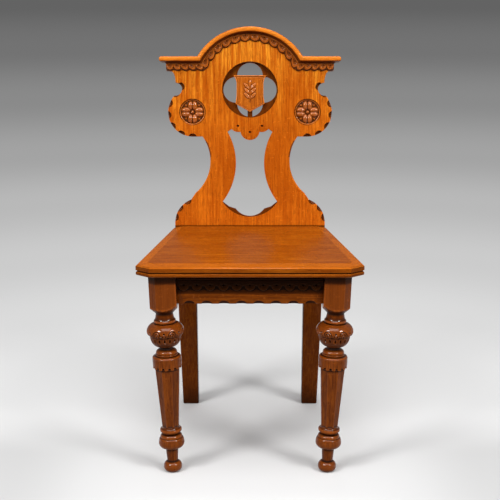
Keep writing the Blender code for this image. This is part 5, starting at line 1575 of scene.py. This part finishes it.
def floor_finish(name):
    """Matt paint near the chair, with painted shade in its front corners, and further out a tone of its
    own that falls with the distance.
    """
    material, tree, shader = new_finish(name)
    tree.nodes.remove(shader)
    where = add(tree, "ShaderNodeTexCoord").outputs["Object"]
    distance = add(tree, "ShaderNodeVectorMath", {"operation": "LENGTH"}, i0=where).outputs["Value"]
    steps = add(tree, "ShaderNodeMath", {"operation": "LOGARITHM"}, i0=distance, i1=10.0).outputs[0]
    share = add(tree, "ShaderNodeMapRange", Value=steps, From_Min=log10(TONES_START),
                From_Max=log10(FLOOR_FAR))
    tones = add(tree, "ShaderNodeValToRGB", Fac=share.outputs[0])
    tones.color_ramp.interpolation = "EASE"
    stops = tones.color_ramp.elements
    stops[0].color = grey(FLOOR_PALE)
    stops[1].color = grey(FLOOR_DARK)
    for place, tone in FLOOR_TONES:
        stops.new(place).color = grey(tone)
    seen = seen_directly(tree)
    glow = add(tree, "ShaderNodeEmission", Color=tones.outputs[0], Strength=seen)
    ground = add(tree, "ShaderNodeSeparateXYZ", Vector=where).outputs
    aside = add(tree, "ShaderNodeMath", {"operation": "ABSOLUTE"}, i0=ground["X"]).outputs[0]
    corner = product(tree, spread(tree, aside, *CORNER_ASIDE), spread(tree, ground["Y"], *CORNER_AHEAD))
    paint = mix_colours(tree, corner, grey(FLOOR_PAINT), grey(PAINTED_CORNER_SHADE))
    paint = mix_colours(tree, seen, grey(FLOOR_BOUNCE), paint)
    matt = add(tree, "ShaderNodeBsdfDiffuse", Color=paint)
    far = spread(tree, distance, FLOOR_NEAR, FLOOR_BLEND)
    both = add(tree, "ShaderNodeMixShader", i0=far, i1=matt.outputs[0], i2=glow.outputs[0])
    feed(tree, tree.nodes["Material Output"], Surface=both.outputs[0])
    return material


floor_mesh = turned("floor", [(0.01, 0), (2.0, 0), (FLOOR_RIM, 0)])
shape = bmesh.new()
shape.from_mesh(floor_mesh)
shape.faces.ensure_lookup_table()
shape.faces.remove(shape.faces[-1])         # the outer cap would lie over the whole floor
shape.to_mesh(floor_mesh)
shape.free()
floor_mesh.materials.append(floor_finish("studio_floor"))
floor = put("studio_floor", floor_mesh)
floor.location.z = FLOOR_LEVEL
print("floor out to %.0f m" % FLOOR_RIM)

# %% [markdown]
# ## Light
# Two softboxes stand in front to the left and right. Their height follows from the shadow that the
# seat throws on the rail behind it, and their width from the pair of highlights on each bulb. A
# broad lamp above the front and a smaller one over the back fill in from the top. The polish shows
# the lamps' shapes, so they are area lamps of a real size.

# %% Lamps and sky
MIDDLE = Vector((0, 0, 0.45))       # of the chair, where every lamp points
SKY_TONE = 0.15


def lamp(name, place, width, power):
    """A square area lamp that looks at the chair."""
    light = bpy.data.lights.new(name, "AREA")
    light.size = width
    light.energy = power
    thing = put(name, light)
    thing.location = place
    thing.rotation_euler = (MIDDLE - Vector(place)).to_track_quat("-Z", "Y").to_euler()


for side, word in SIDES:
    lamp(word + "_softbox", (side * 2.0, -1.95, 2.35), 0.9, 55)
lamp("broad_front", (0, -1.2, 3.0), 2.2, 46)
lamp("overhead", (0, 0.5, 2.7), 0.9, 15)

world = bpy.data.worlds.new("studio")
world.use_nodes = True
scene.world = world
sky = world.node_tree
tone = mix_colours(sky, seen_directly(sky), grey(SKY_TONE), grey(FLOOR_DARK))
feed(sky, sky.nodes["Background"], Color=tone)

# %% [markdown]
# ## Camera
# The camera stands where the photograph's did: a little higher than the back, a little over two
# metres ahead of the seat, and tipped down at it. Its place was found by fitting the seat's
# outline and the feet.

# %% Camera
CAMERA_AHEAD = 2.156        # of the seat's front edge
CAMERA_HEIGHT = 0.974
CAMERA_TIP = 12.97          # degrees down from level
LENS = 81.94
camera = put("camera", bpy.data.cameras.new("camera"))
camera.location = (0, FRONT_Y - CAMERA_AHEAD, CAMERA_HEIGHT)
camera.rotation_euler = (radians(90 - CAMERA_TIP), 0, 0)
camera.data.lens = LENS
camera.data.clip_end = 200
scene.camera = camera
scene.view_settings.view_transform = "Standard"
